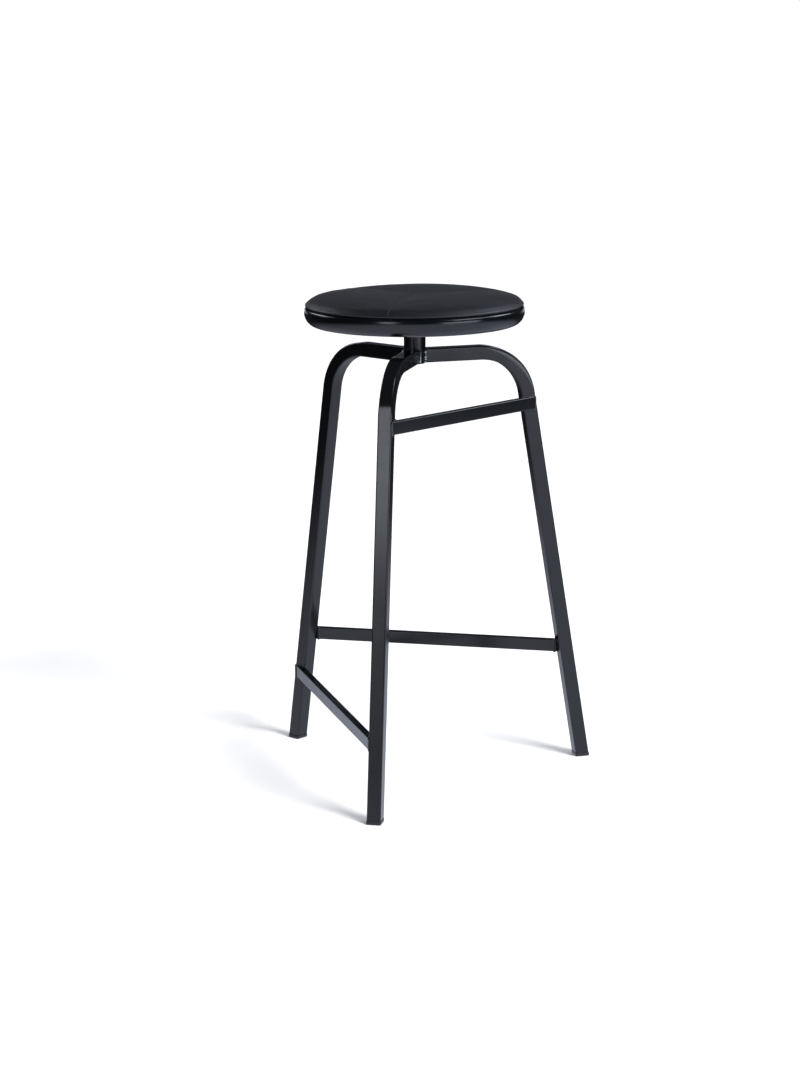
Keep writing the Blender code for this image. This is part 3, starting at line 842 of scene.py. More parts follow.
@dataclass(frozen=True)
class FootrestBars:
    """Three flat tubes with mitred ends, welded between the legs' side faces."""

    legs: BentLegs
    height: float = 20 * MM
    thickness: float = 11.2 * MM
    wall: float = 1.2 * MM
    corner: float = 1.6 * MM
    inner_corner: float = 0.6 * MM
    inset: float = 1.0 * MM  # how far inside the legs' outer edges the bars stand
    bead_radius: float = 1.45 * MM
    bead_round: float = 0.25 * MM  # how far outside the tube a bead's middle runs
    bead_off: float = 0.35 * MM  # how far off the leg's face it runs

    def level(self, bar: Footrest) -> float:
        """Height of a bar's middle."""
        low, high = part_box(f"footrest_{bar.name.lower()}")
        return (low.z + high.z) / 2

    def middle(self, level: float) -> float:
        """Find the bar's centre line.

        Args:
            level: the height of the bar's middle.

        Returns:
            Its distance from the axis.
        """
        turned = radians(BAR_TURN)
        outer = self.legs.radius_at(level) + self.legs.side / 2 / cos(self.legs.splay)
        face = outer * cos(turned) + self.legs.side / 2 * sin(turned)
        return face - self.inset - self.thickness / 2

    def end_at(self, distance: float, overlap: float) -> float:
        """How far along the bar its mitre is, from its middle, at a distance from the axis.

        Args:
            distance: how far out from the axis, across the bar.
            overlap: how deep it runs into the leg's face.

        Returns:
            Half the bar's length there.
        """
        face = self.legs.side / 2 - overlap
        return (distance * sin(radians(BAR_TURN)) - face) / cos(radians(BAR_TURN))

    def skin(self, level: float, section: Profile) -> list[Ring]:
        """Rings of one skin of the bar, from end to end.

        Args:
            level: the height of the bar's middle.
            section: the skin's outline, outwards and up.

        Returns:
            The rings.
        """
        rings = []
        for side in (-1, -0.5, 0, 0.5, 1):
            ring = []
            for x, z in section:
                distance = self.middle(level) + x
                ring.append(Vector((distance, side * self.end_at(distance, WELD_IN), level + z)))
            rings.append(ring)
        return rings

    def bead_paths(self, level: float) -> list[Ring]:
        """Find where the beads run round both ends of a bar.

        Args:
            level: the height of the bar's middle.

        Returns:
            Two paths, for a bar whose middle is on the X axis.
        """
        around = outline(self.thickness + 2 * self.bead_round, self.height + 2 * self.bead_round, self.corner)
        start = next(k for k, (x, z) in enumerate(around) if x > 0 and z < 0)
        around = around[start:] + around[:start]
        flat = [Vector((self.middle(level) + x, 0, level + z)) for x, z in around]
        return [[Vector((p.x, side * self.end_at(p.x, -self.bead_off), p.z)) for p in flat]
                for side in (-1, 1)]

    def build(self) -> list[bpy.types.Object]:
        """Make the bars and the beads at their ends.

        Returns:
            Each bar, followed by its two beads in one.
        """
        made = []
        section = outline(self.thickness, self.height, self.corner)
        inner = outline(self.thickness - 2 * self.wall, self.height - 2 * self.wall, self.inner_corner)
        for bar in Footrest:
            name, level = bar.name.lower(), self.level(bar)
            azimuth = bar.value[0].value + BAR_TURN
            rings = self.skin(level, section) + list(reversed(self.skin(level, inner)))
            made.append(add_piece(f"footrest_bar_{name}", loft(turned_about(rings, azimuth), wrap=True),
                                  Dress(COAT, Body.FRAME, Slot.COAT, (f"footrest_{name}",)),
                                  self.legs.axis.place))
            paths = turned_about(self.bead_paths(level), azimuth)
            made.append(add_piece(f"weld_footrest_{name}",
                                  joined([WeldBead(self.bead_radius).lay(path) for path in paths]),
                                  Dress(BEAD_COAT, Body.FRAME, Slot.COAT), self.legs.axis.place))
        return made


@dataclass(frozen=True)
class FootGlides:
    """A moulded glide under each leg: a chamfered sole with a shadow line and a plug in the tube."""

    legs: BentLegs
    proud: float = 0.6 * MM
    height: float = 6 * MM
    chamfer: float = 1.2 * MM
    corner: float = 2.8 * MM
    least_corner: float = 0.6 * MM
    plug_length: float = 15 * MM
    plug_taper: float = 1.5 * MM
    shadow_line: float = 1.0 * MM  # how far the groove under the tube is set in

    def stack(self) -> Profile:
        """Lay out a glide from the middle of its sole to the end of its plug.

        Returns:
            Height and half width of each ring.
        """
        half, plug = self.legs.side / 2 + self.proud, self.legs.side / 2 - self.legs.wall - PLAY
        neck, end = half - self.shadow_line, self.height + self.plug_length
        return [(0.9 * MM, half - 5 * MM), (0.3 * MM, half - 4.2 * MM), (0.0, half - 3.6 * MM),
                (0.0, half - self.chamfer), (0.35 * MM, half - 0.5 * MM), (self.chamfer, half),
                (self.height - 1.1 * MM, half), (self.height - 0.6 * MM, half - 0.25 * MM),
                (self.height - 0.5 * MM, neck), (self.height, neck), (self.height, plug),
                (end - self.plug_taper, plug), (end, plug - self.plug_taper)]

    def build(self) -> list[bpy.types.Object]:
        """Make the three glides.

        Returns:
            The glides.
        """
        half = self.legs.side / 2 + self.proud
        rings = []
        for height, reach in self.stack():
            corner = max(self.corner - (half - reach), self.least_corner)
            lean = self.legs.radius_at(height)
            rings.append([Vector((lean + x / cos(self.legs.splay), y, height))
                          for x, y in outline(2 * reach, 2 * reach, corner, 4)])
        made = []
        for leg in Leg:
            name = leg.name.lower()
            made.append(add_piece(f"glide_{name}", loft(turned_about(rings, leg.value)),
                                  Dress(MATT_NYLON, Body.FRAME, Slot.NYLON, (f"foot_glide_{name}",)),
                                  self.legs.axis.place))
        return made


@dataclass(frozen=True)
class Hub:
    """The upright tube, its flanged bush and cap, and the beads that join the arms to it."""

    legs: BentLegs
    wall: float = 2.6 * MM
    steps: int = 96
    rim_radius: float = 0.6 * MM
    bush_radius: float = 0.4 * MM
    bush_play: float = 0.1 * MM
    spindle_play: float = 0.2 * MM
    side_bead: float = 2.3 * MM
    side_ripple: float = 3.8 * MM
    side_off: float = 0.45 * MM  # how far the side beads stand off the arm
    side_out: float = 0.75 * MM  # and off the tube
    side_ends: tuple[float, float] = (0.6 * MM, 1.0 * MM)  # how far they stop from the arm's two faces
    top_bead: float = 1.3 * MM
    top_out: float = 0.35 * MM  # how far the top beads stand off the tube
    top_up: float = 0.15 * MM  # and off the arm

    def sleeve(self) -> bpy.types.Object:
        """Make the tube, its rims eased.

        Returns:
            The tube.
        """
        low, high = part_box("hub_tube")
        outer = span("hub_tube")
        bore = outer - self.wall
        section = rounded_corners([(outer, high.z), (outer, low.z), (bore, low.z), (bore, high.z)],
                                  self.rim_radius)
        return add_piece("hub_sleeve", turn(section, self.steps, closed=True),
                         Dress(COAT, Body.FRAME, Slot.COAT, ("hub_tube",)), self.legs.axis.place)

    def bush(self) -> bpy.types.Object:
        """Make the flanged nylon bush in the tube's top.

        Returns:
            The bush.
        """
        low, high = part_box("upper_bush")
        rim = span("upper_bush")
        body = span("hub_tube") - self.wall - self.bush_play
        bore = span("spindle") + self.spindle_play
        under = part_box("hub_tube")[1].z + self.bush_play
        section = rounded_corners([(rim, high.z), (rim, under), (body, under), (body, low.z),
                                   (bore, low.z), (bore, high.z)], self.bush_radius)
        return add_piece("flanged_bush", turn(section, self.steps, closed=True),
                         Dress(MATT_NYLON, Body.FRAME, Slot.NYLON, ("upper_bush",)), self.legs.axis.place)

    def cap(self) -> bpy.types.Object:
        """Make the cap that closes the tube from below: a shallow dome with a ring moulded in it.

        Returns:
            The cap.
        """
        low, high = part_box("hub_cap")
        rim = span("hub_cap")
        body = self.legs.hub_radius - self.wall - PLAY
        skirt = body - 1.4 * MM
        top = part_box("hub_tube")[0].z
        dome = [(0, 0.15), (4, 0.2), (4.4, 0.5), (5.2, 0.5), (5.6, 0.1)]  # radius and rise in mm
        profile = [(radius * MM, low.z + rise * MM) for radius, rise in dome]
        profile += [(rim - 1.2 * MM, low.z), (rim - 0.3 * MM, low.z + 0.25 * MM), (rim, low.z + 0.6 * MM),
                    (rim, top - 0.05 * MM), (body, top - 0.05 * MM), (body, high.z - 0.6 * MM),
                    (body - 0.4 * MM, high.z), (skirt, high.z), (skirt, top + 0.4 * MM), (0, top + 0.4 * MM)]
        return add_piece("hub_plug", turn(profile, self.steps),
                         Dress(MATT_NYLON, Body.FRAME, Slot.NYLON, ("hub_cap",)), self.legs.axis.place)

    def beads(self) -> list[bpy.types.Object]:
        """Make the fillets up both sides of each arm and over its top.

        Returns:
            The side fillets in one piece and the top ones in another.
        """
        legs = self.legs
        low, high = legs.arm_height - legs.side / 2, legs.arm_height + legs.side / 2
        across = legs.side / 2 + self.side_off
        near = sqrt(legs.hub_radius ** 2 - (legs.side / 2) ** 2) + self.side_out
        edge = degrees(asin(legs.side / 2 / legs.hub_radius))
        over = arc((0, 0), (legs.hub_radius + self.top_out,) * 2, -edge, edge, 16)
        rises = [[Vector((near, side * across, low + self.side_ends[0])),
                  Vector((near, side * across, high - self.side_ends[1]))] for side in (-1, 1)]
        top = [Vector((x, y, high + self.top_up)) for x, y in over]
        upright, level = WeldBead(self.side_bead, self.side_ripple), WeldBead(self.top_bead)
        sides = [upright.lay(path) for leg in Leg for path in turned_about(rises, leg.value)]
        tops = [level.lay(path) for leg in Leg for path in turned_about([top], leg.value)]
        return [add_piece("weld_hub_sides", joined(sides), Dress(SPATTER, Body.FRAME, Slot.COAT),
                          legs.axis.place),
                add_piece("weld_hub_tops", joined(tops), Dress(BEAD_COAT, Body.FRAME, Slot.COAT),
                          legs.axis.place)]

    def build(self) -> list[bpy.types.Object]:
        """Make the hub's pieces."""
        return [self.sleeve(), self.bush(), self.cap(), *self.beads()]


# ---------------------------------------------------------------- swivel and seat
@dataclass(frozen=True)
class SwivelMount:
    """The plate screwed under the seat, its washer and its four pan-head screws."""

    axis: Axis
    corner: float = 12 * MM
    edge: float = 0.7 * MM
    bore_play: float = 0.1 * MM
    washer_edge: float = 0.3 * MM
    shank: float = 2.0 * MM
    root: float = 0.78  # radius between two threads, as a share of the shank's
    pitch: float = 1.4 * MM
    lobes: int = 6
    lobe_depth: float = 0.16
    screw_sides: int = 48

    def plate(self) -> bpy.types.Object:
        """Make the square plate with round corners, eased edges and a bore for the spindle.

        Returns:
            The plate.
        """
        low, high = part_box("seat_plate")
        side = high.x - low.x
        bore = span("spindle") + self.bore_play
        stack = [(low.z, side - 2 * self.edge), (low.z + self.edge * 0.3, side - self.edge * 0.5),
                 (low.z + self.edge, side), (high.z - self.edge, side),
                 (high.z - self.edge * 0.3, side - self.edge * 0.5), (high.z, side - 2 * self.edge)]
        rings = []
        for z, width in stack:
            corner = self.corner - (side - width) / 2
            rings.append([Vector((x, y, z)) for x, y in outline(width, width, corner, 8)])
        hole = [Vector((p.x, p.y)).normalized() * bore for p in rings[0]]
        rings += [[Vector((p.x, p.y, z)) for p in hole] for z in (high.z, low.z)]
        return add_piece("mounting_plate", loft(rings, wrap=True),
                         Dress(COAT, Body.SEAT, Slot.COAT, ("seat_plate",)), self.axis.place)

    def washer(self) -> bpy.types.Object:
        """Make the thrust washer between plate and bush.

        Returns:
            The washer.
        """
        low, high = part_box("thrust_washer")
        outer, bore = span("thrust_washer"), span("spindle") + self.bore_play
        section = rounded_corners([(outer, high.z), (outer, low.z), (bore, low.z), (bore, high.z)],
                                  self.washer_edge)
        return add_piece("slip_washer", turn(section, 96, closed=True),
                         Dress(BRIGHT_ZINC, Body.SEAT, Slot.ZINC, ("thrust_washer",)), self.axis.place)

    def screw_stack(self, node: str) -> list[tuple[float, float, float]]:
        """Lay out a pan-head screw from its recess to its tip.

        Args:
            node: the screw's CAD node.

        Returns:
            Height, radius and how far the six lobes show, for each ring.
        """
        low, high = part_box(node)
        under, head, shank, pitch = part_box("seat_plate")[0].z, span(node), self.shank, self.pitch
        stack = [(low.z + 1.5 * MM, 0.5 * MM, 1.0), (low.z + 1.5 * MM, 1.45 * MM, 1.0),
                 (low.z + 0.1 * MM, 1.5 * MM, 1.0), (low.z, 1.62 * MM, 0.9), (low.z, head * 0.6, 0.0),
                 (low.z + 0.3 * MM, head * 0.83, 0.0), (low.z + 0.9 * MM, head * 0.97, 0.0),
                 (low.z + 1.6 * MM, head, 0.0), (under, head, 0.0), (under, shank, 0.0)]
        height = under + pitch
        while height < high.z - 2 * pitch:
            stack += [(height, shank, 0.0), (height + pitch * 0.25, shank * self.root, 0.0),
                      (height + pitch * 0.75, shank * self.root, 0.0)]
            height += pitch
        return stack + [(high.z - pitch, shank * 0.6, 0.0), (high.z, 0.15 * MM, 0.0)]

    def screw(self, number: int) -> bpy.types.Object:
        """Make one pan-head screw with a six-lobe recess.

        Args:
            number: which of the four.

        Returns:
            The screw.
        """
        node = f"plate_screw_{number}"
        rings = []
        for z, radius, lobed in self.screw_stack(node):
            ring = []
            for k in range(self.screw_sides):
                a = 2 * pi * k / self.screw_sides
                r = radius * (1 - lobed * self.lobe_depth * (0.5 - 0.5 * cos(self.lobes * a)))
                ring.append(Vector((r * cos(a), r * sin(a), z)))
            rings.append(ring)
        low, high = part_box(node)
        centre = Vector(((low.x + high.x) / 2, (low.y + high.y) / 2, 0))
        return add_piece(f"mounting_screw_{number}", loft(rings),
                         Dress(BRIGHT_ZINC, Body.SEAT, Slot.ZINC, (node,)), centre)

    def build(self) -> list[bpy.types.Object]:
        """Make the mount's pieces."""
        return [self.plate(), self.washer(), *[self.screw(number) for number in range(1, 5)]]


@dataclass(frozen=True)
class SeatShell:
    """The glossy moulded shell: flat floor, round lower edge and a thin rolled rim."""

    axis: Axis
    wall: float = 3 * MM
    turn_width: float = 17.3 * MM
    turn_height: float = 20.4 * MM
    lip: float = 2.4 * MM
    lip_height: float = 6.0 * MM
    steps: int = 160

    def build(self) -> list[bpy.types.Object]:
        """Make the shell.

        Returns:
            The one shell.
        """
        low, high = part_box("seat_shell")
        radius = span("seat_shell")
        flat = radius - self.turn_width
        middle = (flat, low.z + self.turn_height)
        inside = (self.turn_width - self.wall, self.turn_height - self.wall)
        inner, ease = radius - self.wall, self.wall - self.lip
        rim = (radius - self.lip, high.z - self.lip_height)
        profile: Profile = [(0, low.z + self.wall)]
        profile += arc(middle, inside, -90, 0, 14)
        profile += arc((inner + ease, high.z - ease), (ease, ease), 180, 90, 4)
        profile += arc(rim, (self.lip, self.lip_height), 90, 0, 12)[1:]
        profile += arc(middle, (self.turn_width, self.turn_height), 0, -90, 22)
        profile += [(flat * 0.66, low.z), (flat * 0.33, low.z), (0, low.z)]
        return [add_piece("seat_bowl", turn(profile, self.steps),
                          Dress(GLOSS_SHELL, Body.SEAT, Slot.SHELL, ("seat_shell",)), self.axis.place)]


@dataclass
class LeatherPad:
    """Foam under three leather panels sewn in a Y, each panel blown up a little between its seams."""

    axis: Axis
    seams: tuple[float, float, float] = (30.0, 150.0, 270.0)
    names: tuple[str, str, str] = ("back", "left", "right")
    squareness: float = 5.2
    fullness: float = 2.8
    groove: float = 2.0 * MM
    tuck: float = 5.5 * MM
    tuck_depth: float = 5.6 * MM
    roll: float = 2.4 * MM
    leather: float = 1.3 * MM
    fold: float = 1.5 * MM
    dip: float = 0.3 * MM  # how far the leather sinks towards a seam
    dip_reach: float = 5 * MM
    pucker: float = 0.14 * MM
    pucker_pitch: float = 8.5 * MM
    pucker_reach: float = 4.5 * MM
    rise: float = 4 * MM  # height above the roll over which the swelling sets in
    shrink: float = 1.6 * MM  # how much smaller than the pad the blown-up form starts
    voxel: float = 5 * MM
    held_low: float = 4 * MM  # the form is held below this height above its base
    frames: int = 20
    pressure: float = 3.0
    cloth_quality: int = 6
    stretch_stiffness: float = 40.0
    bend_stiffness: float = 2.0
    most_swell: float = 4 * MM
    feel_out: float = 14 * MM  # where the rays that feel for the form start
    feel_reach: float = 30 * MM
    give_back: float = 0.6  # share of the shrinkage that the leather stands off the form
    hold_reach: float = 0.6  # how close to a seam the form is held, in voxels
    first_ring: float = 0.3 * MM
    ring_step: float = 2.0 * MM
    even_share: float = 0.88  # share of the radius whose rings are evenly spaced
    side_steps: int = 26
    offsets: tuple[float, ...] = (0.04, 0.15, 0.35, 0.65, 1.0, 1.4, 1.9, 2.7, 4.0, 6.0, 9.0)
    columns: int = 12
    least_radius: float = 0.1 * MM
    foam_sides: int = 96
    foam_air: float = 0.5 * MM  # between leather and foam
    foam_channel: float = 1.6 * MM  # how deep the foam is grooved under a seam
    foam_channel_reach: float = 4 * MM
    foam_edge: float = 1.5 * MM  # how far the foam's foot stands inside the tucked leather
    stitch: float = 4 * MM
    stitch_half: float = 0.9 * MM
    stitch_depth: float = 2.0 * MM
    stitch_arch: float = 0.25 * MM
    thread_sides: int = 8
    form: BVHTree | None = field(default=None, init=False)

    def __post_init__(self) -> None:
        """Read the pad's size from its CAD nodes."""
        boxes = [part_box(f"cover_panel_{name}") for name in self.names]
        self.top = max(high.z for _, high in boxes)
        self.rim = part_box("seat_shell")[1].z
        self.radius = max(high.x for _, high in boxes) - self.axis.place.x
        self.base = self.rim + self.groove

    def crown_point(self, radius: float) -> tuple[float, float]:
        """Find a point of the pad's crown, which is a superellipse.

        Args:
            radius: its distance from the axis.

        Returns:
            The same distance and the height there.
        """
        share = min(1.0, radius / self.radius)
        t = acos(min(1.0, share ** (self.squareness / 2)))
        return radius, self.base + (self.top - self.base) * sin(t) ** (2 / self.fullness)

    def outline(self) -> Profile:
        """Lay out the half outline over the side, round the lower roll and down into the shell.

        Returns:
            Radius and height of each point, from the crown.
        """
        count = int(self.radius * self.even_share / self.ring_step)
        points = [self.crown_point(max(self.first_ring, k * self.ring_step)) for k in range(count + 1)]
        start = acos((points[-1][0] / self.radius) ** (self.squareness / 2))
        height = self.top - self.base
        for step in range(1, self.side_steps):
            t = start * (1 - step / self.side_steps)
            z = self.base + height * sin(t) ** (2 / self.fullness)
            if z < self.base + self.roll:
                break
            points.append((self.radius * cos(t) ** (2 / self.squareness), z))
        rolled = arc((self.radius - self.roll, self.base + self.roll), (self.roll, self.roll), 0, -90, 6)
        inner = self.radius - self.tuck
        return points + rolled + [(inner + 1.2 * MM, self.rim + 1.2 * MM), (inner, self.rim + 0.2 * MM),
                                  (inner, self.rim - self.tuck_depth)]

    def form_profile(self) -> Profile:
        """Lay out the form that is blown up, a little smaller than the pad.

        Returns:
            Its half outline, from the crown to the middle of its underside.
        """
        profile: Profile = [(0, self.top - self.shrink)]
        reach, steps = self.radius - self.shrink, 40
        for step in range(1, steps + 1):
            t = pi / 2 * (1 - step / steps)
            profile.append((reach * cos(t) ** (2 / self.squareness),
                            self.base + (self.top - self.shrink - self.base) * sin(t) ** (2 / self.fullness)))
        return profile + [(reach - 2 * MM, self.base - self.groove), (0, self.base - self.groove)]

    def pad_form(self) -> bpy.types.Object:
        """Make the form, in even faces, with its seams and underside in the group that is held.

        Returns:
            The form.
        """
        bm = turn(self.form_profile(), 96)
        bmesh.ops.recalc_face_normals(bm, faces=bm.faces)
        mesh = bpy.data.meshes.new("pad_form")
        bm.to_mesh(mesh)
        bm.free()
        form = bpy.data.objects.new("pad_form", mesh)
        bpy.context.scene.collection.objects.link(form)
        remesh = form.modifiers.new("even", "REMESH")
        remesh.mode = "VOXEL"
        remesh.voxel_size = self.voxel
        graph = bpy.context.evaluated_depsgraph_get()
        even = bpy.data.meshes.new_from_object(form.evaluated_get(graph))
        form.modifiers.clear()
        form.data = even
        held = form.vertex_groups.new(name="held")
        for vert in even.vertices:
            near = min(self.seam_distance(hypot(vert.co.x, vert.co.y), vert.co.to_2d(), seam)
                       for seam in self.seams)
            if vert.co.z < self.base + self.held_low or near < self.hold_reach * self.voxel:
                held.add([vert.index], 1.0, "REPLACE")
        return form

    def blow_up(self, form: bpy.types.Object) -> bpy.types.Mesh:
        """Blow the form up with cloth pressure, no further than the most that the pad swells.

        Args:
            form: the form at rest.

        Returns:
            The swollen mesh.
        """
        rest = [vert.co.copy() for vert in form.data.vertices]
        cloth = form.modifiers.new("swell", "CLOTH")
        cloth.settings.use_pressure = True
        cloth.settings.uniform_pressure_force = self.pressure
        cloth.settings.effector_weights.gravity = 0.0
        cloth.settings.vertex_group_mass = "held"
        cloth.settings.quality = self.cloth_quality
        cloth.settings.tension_stiffness = self.stretch_stiffness
        cloth.settings.compression_stiffness = self.stretch_stiffness
        cloth.settings.bending_stiffness = self.bend_stiffness
        scene = bpy.context.scene
        for frame in range(1, self.frames + 1):
            scene.frame_set(frame)
        graph = bpy.context.evaluated_depsgraph_get()
        swollen = bpy.data.meshes.new_from_object(form.evaluated_get(graph))
        scene.frame_set(1)
        moves = [vert.co - start for vert, start in zip(swollen.vertices, rest)]
        for vert, start, move in zip(swollen.vertices, rest, moves):
            if move.length > self.most_swell:
                vert.co = start + move.normalized() * self.most_swell
        LOG.info("pad swells by up to %.1f mm before the cap", max(move.length for move in moves) / MM)
        form.modifiers.clear()
        return swollen

    def swell(self) -> None:
        """Keep the blown-up form, smoothed, for the leather and the foam to be laid on."""
        form = self.pad_form()
        form.data = self.blow_up(form)
        finer = form.modifiers.new("finer", "SUBSURF")
        finer.levels = finer.render_levels = 1
        self.form = BVHTree.FromObject(form, bpy.context.evaluated_depsgraph_get())
        bpy.data.objects.remove(form, do_unlink=True)

    def seam_distance(self, radius: float, point: Vector, seam: float) -> float:
        """Measure in plan from a seam line that runs from the axis outwards.

        Args:
            radius: the point's distance from the axis.
            point: the point.
            seam: the seam's azimuth in degrees.

        Returns:
            The distance.
        """
        along = Vector((cos(radians(seam)), sin(radians(seam))))
        flat = Vector((point.x, point.y))
        if flat.dot(along) <= 0:
            return radius
        return abs(along.x * flat.y - along.y * flat.x)

    def columns_at(self, radius: float) -> list[tuple[float, float]]:
        """Where the columns of half a panel lie on a ring.

        Args:
            radius: the ring's radius.

        Returns:
            For each column from the seam to the panel's middle, its angle from the seam in
            radians and its distance from the seam.
        """
        near = [offset * MM for offset in self.offsets]
        width = max(radius * pi / 3, self.least_radius)
        scale = min(1.0, width / (2 * near[-1]))
        places = [offset * scale for offset in near]
        left = width - places[-1]
        places += [places[-1] + left * step / self.columns for step in range(1, self.columns + 1)]
        return [(place / max(radius, self.least_radius), place) for place in places]

    def surface(self, inset: float, seamed: bool) -> Callable[[float, float, float, Vector], Vector]:
        """Give a function that puts a point of the outline on the swollen pad.

        Args:
            inset: how far inside the leather's face.
            seamed: whether the surface dips at the seams.

        Returns:
            A function of radius, height, distance from the seam and the two directions.
        """

        def place(radius: float, height: float, near: float, spoke: Vector, normal: Vector) -> Vector:
            """Put one point on the pad.

            Args:
                radius: the outline point's distance from the axis.
                height: its height.
                near: how far the nearest seam is.
                spoke: the level direction from the axis.
                normal: the outward direction.

            Returns:
                The point.
            """
            point = spoke * radius + Vector((0, 0, height))
            rising = min(1.0, max(0.0, (height - self.base - self.roll) / self.rise))
            if self.form is not None and rising > 0:
                hit = self.form.ray_cast(point + normal * self.feel_out, -normal, self.feel_reach)[0]
                if hit is not None:
                    point = point.lerp(hit + normal * self.shrink * self.give_back, rising)
            depth = inset
            if seamed and rising > 0:
                share = max(0.0, 1 - near / self.fold)
                depth += self.fold * (1 - sqrt(max(0.0, 1 - share ** 2))) * rising
                depth += self.dip * exp(-near / self.dip_reach) * rising
                wave = 0.5 - 0.5 * cos(2 * pi * radius / self.pucker_pitch)
                depth += self.pucker * wave * exp(-near / self.pucker_reach) * rising
            return point - normal * depth

        return place

    def normals(self, profile: Profile) -> list[tuple[float, float]]:
        """Find the outward direction at each point of an outline.

        Args:
            profile: the outline.

        Returns:
            Its parts outwards and up.
        """
        out = []
        last = len(profile) - 1
        for place in range(len(profile)):
            before, after = profile[max(place - 1, 0)], profile[min(place + 1, last)]
            run, rise = after[0] - before[0], after[1] - before[1]
            length = hypot(run, rise) or 1.0
            out.append((-rise / length, run / length))
        return out

    def panel(self, name: str, seam: float) -> bpy.types.Object:
        """One sewn panel: its face, its turned-in edges and its flesh side.

        Args:
            name: the CAD panel it stands for.
            seam: the azimuth of the seam it starts from, in degrees.

        Returns:
            The panel.
        """
        profile = self.outline()
        normals = self.normals(profile)
        place = self.surface(0.0, seamed=True)
        grid: list[Ring] = []
        for (radius, height), (nr, nz) in zip(profile, normals):
            half = self.columns_at(radius)
            turns = [(radians(seam) + angle, near) for angle, near in half]
            turns += [(radians(seam + PANEL_TURN) - angle, near) for angle, near in reversed(half[:-1])]
            row = []
            for azimuth, near in turns:
                spoke = Vector((cos(azimuth), sin(azimuth), 0))
                row.append(place(radius, height, near, spoke, (spoke * nr + Vector((0, 0, nz))).normalized()))
            grid.append(row)
        rows, columns = len(grid), len(grid[0])
        rings = []
        for i, row in enumerate(grid):
            back = []
            thick = min(self.leather, 0.3 * profile[i][0] * pi / 3)
            for j, point in enumerate(row):
                along = grid[min(i + 1, rows - 1)][j] - grid[max(i - 1, 0)][j]
                across = row[min(j + 1, columns - 1)] - row[max(j - 1, 0)]
                out = along.cross(across)
                out = out.normalized() if out.length > 1e-12 else Vector((0, 0, 1))
                back.append(point - out * thick)
            rings.append([*row, *reversed(back)])
        piece = add_piece(f"leather_panel_{name}", loft(rings),
                          Dress(HIDE, Body.SEAT, Slot.LEATHER, (f"cover_panel_{name}",)), self.axis.place)
        return piece

    def foam(self) -> bpy.types.Object:
        """Make the foam under the leather, flat where it rests on the board.

        Returns:
            The foam.
        """
        profile = [point for point in self.outline()[::3] if point[1] > self.base + self.roll]
        place = self.surface(self.leather + self.foam_air, seamed=False)
        rings = []
        for (radius, height), (nr, nz) in zip(profile, self.normals(profile)):
            ring = []
            for spoke in circle(1.0, 0.0, self.foam_sides):
                near = min(self.seam_distance(radius, spoke * radius, seam) for seam in self.seams)
                normal = (spoke * nr + Vector((0, 0, nz))).normalized()
                channel = normal * self.foam_channel * exp(-near / self.foam_channel_reach)
                ring.append(place(radius, height, near, spoke, normal) - channel)
            rings.append(ring)
        last = self.radius - self.tuck - self.leather - self.foam_edge
        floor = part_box("pad_board")[1].z + PLAY
        rings += [circle(last, z, self.foam_sides) for z in (self.base + self.leather + self.foam_air, floor)]
        piece = add_piece("foam_core", loft(rings), Dress(FOAM, Body.SEAT, Slot.FOAM, ("seat_foam",)),
                          self.axis.place)
        return piece

    def one_stitch(self, middle: Vector, across: Vector, normal: Vector, spoke: Vector) -> bmesh.types.BMesh:
        """Make one stitch: a short arched thread with thin ends.

        Args:
            middle: where its middle is.
            across: the direction that it runs in.
            normal: the outward direction.
            spoke: the direction of the seam.

        Returns:
            A closed mesh.
        """
        rings = []
        for step, size in ((-1.0, 0.12), (-0.8, 0.26), (-0.3, 0.3), (0.3, 0.3), (0.8, 0.26), (1.0, 0.12)):
            centre = middle + across * step * self.stitch_half + normal * (1 - step ** 2) * self.stitch_arch
            turns = [2 * pi * k / self.thread_sides for k in range(self.thread_sides)]
            rings.append([centre + (normal * cos(a) + spoke * sin(a)) * size * MM for a in turns])
        return loft(rings)

    def thread(self) -> bpy.types.Object:
        """Make the lock stitches that cross deep in each seam.

        Returns:
            All of them in one piece.
        """
        stitches = []
        place = self.surface(0.0, seamed=False)
        for seam in self.seams:
            spoke = Vector((cos(radians(seam)), sin(radians(seam)), 0))
            across = Vector((-spoke.y, spoke.x, 0))
            for number in range(1, int(self.radius * 0.93 / self.stitch)):
                radius, height = self.crown_point(number * self.stitch)
                ahead = self.crown_point(number * self.stitch + MM)
                normal = (Vector((0, 0, ahead[0] - radius)) - spoke * (ahead[1] - height)).normalized()
                middle = place(radius, height, 0.0, spoke, normal) - normal * self.stitch_depth
                stitches.append(self.one_stitch(middle, across, normal, spoke))
        return add_piece("seam_thread", joined(stitches), Dress(THREAD, Body.SEAT, Slot.LEATHER),
                         self.axis.place)

    def build(self) -> list[bpy.types.Object]:
        """Make the panels, the foam and the stitches.

        Returns:
            The pieces.
        """
        self.swell()
        made = [self.panel(name, seam) for name, seam in zip(self.names, self.seams)]
        return [*made, self.foam(), self.thread()]


@dataclass(frozen=True)
class InnerParts:
    """CAD nodes whose shape is right, which only get their finish."""

    finishes: tuple[tuple[str, Finish], ...] = (
        ("spindle", BRIGHT_ZINC), ("retaining_washer", BRIGHT_ZINC), ("retaining_screw", BRIGHT_ZINC),
        ("lower_bush", MATT_NYLON), ("pad_board", PLYWOOD))

    def dress(self, nodes: dict[str, bpy.types.Object]) -> None:
        """Give each node its material.

        Args:
            nodes: the frame's CAD nodes by name.
        """
        for name, finish in self.finishes:
            node = nodes[name]
            if not node.material_slots:
                node.data.materials.append(finish.material())
            for slot in node.material_slots:
                slot.material = finish.material()
            LOG.info("%s keeps its CAD shape, dressed in %s", name, finish.name)


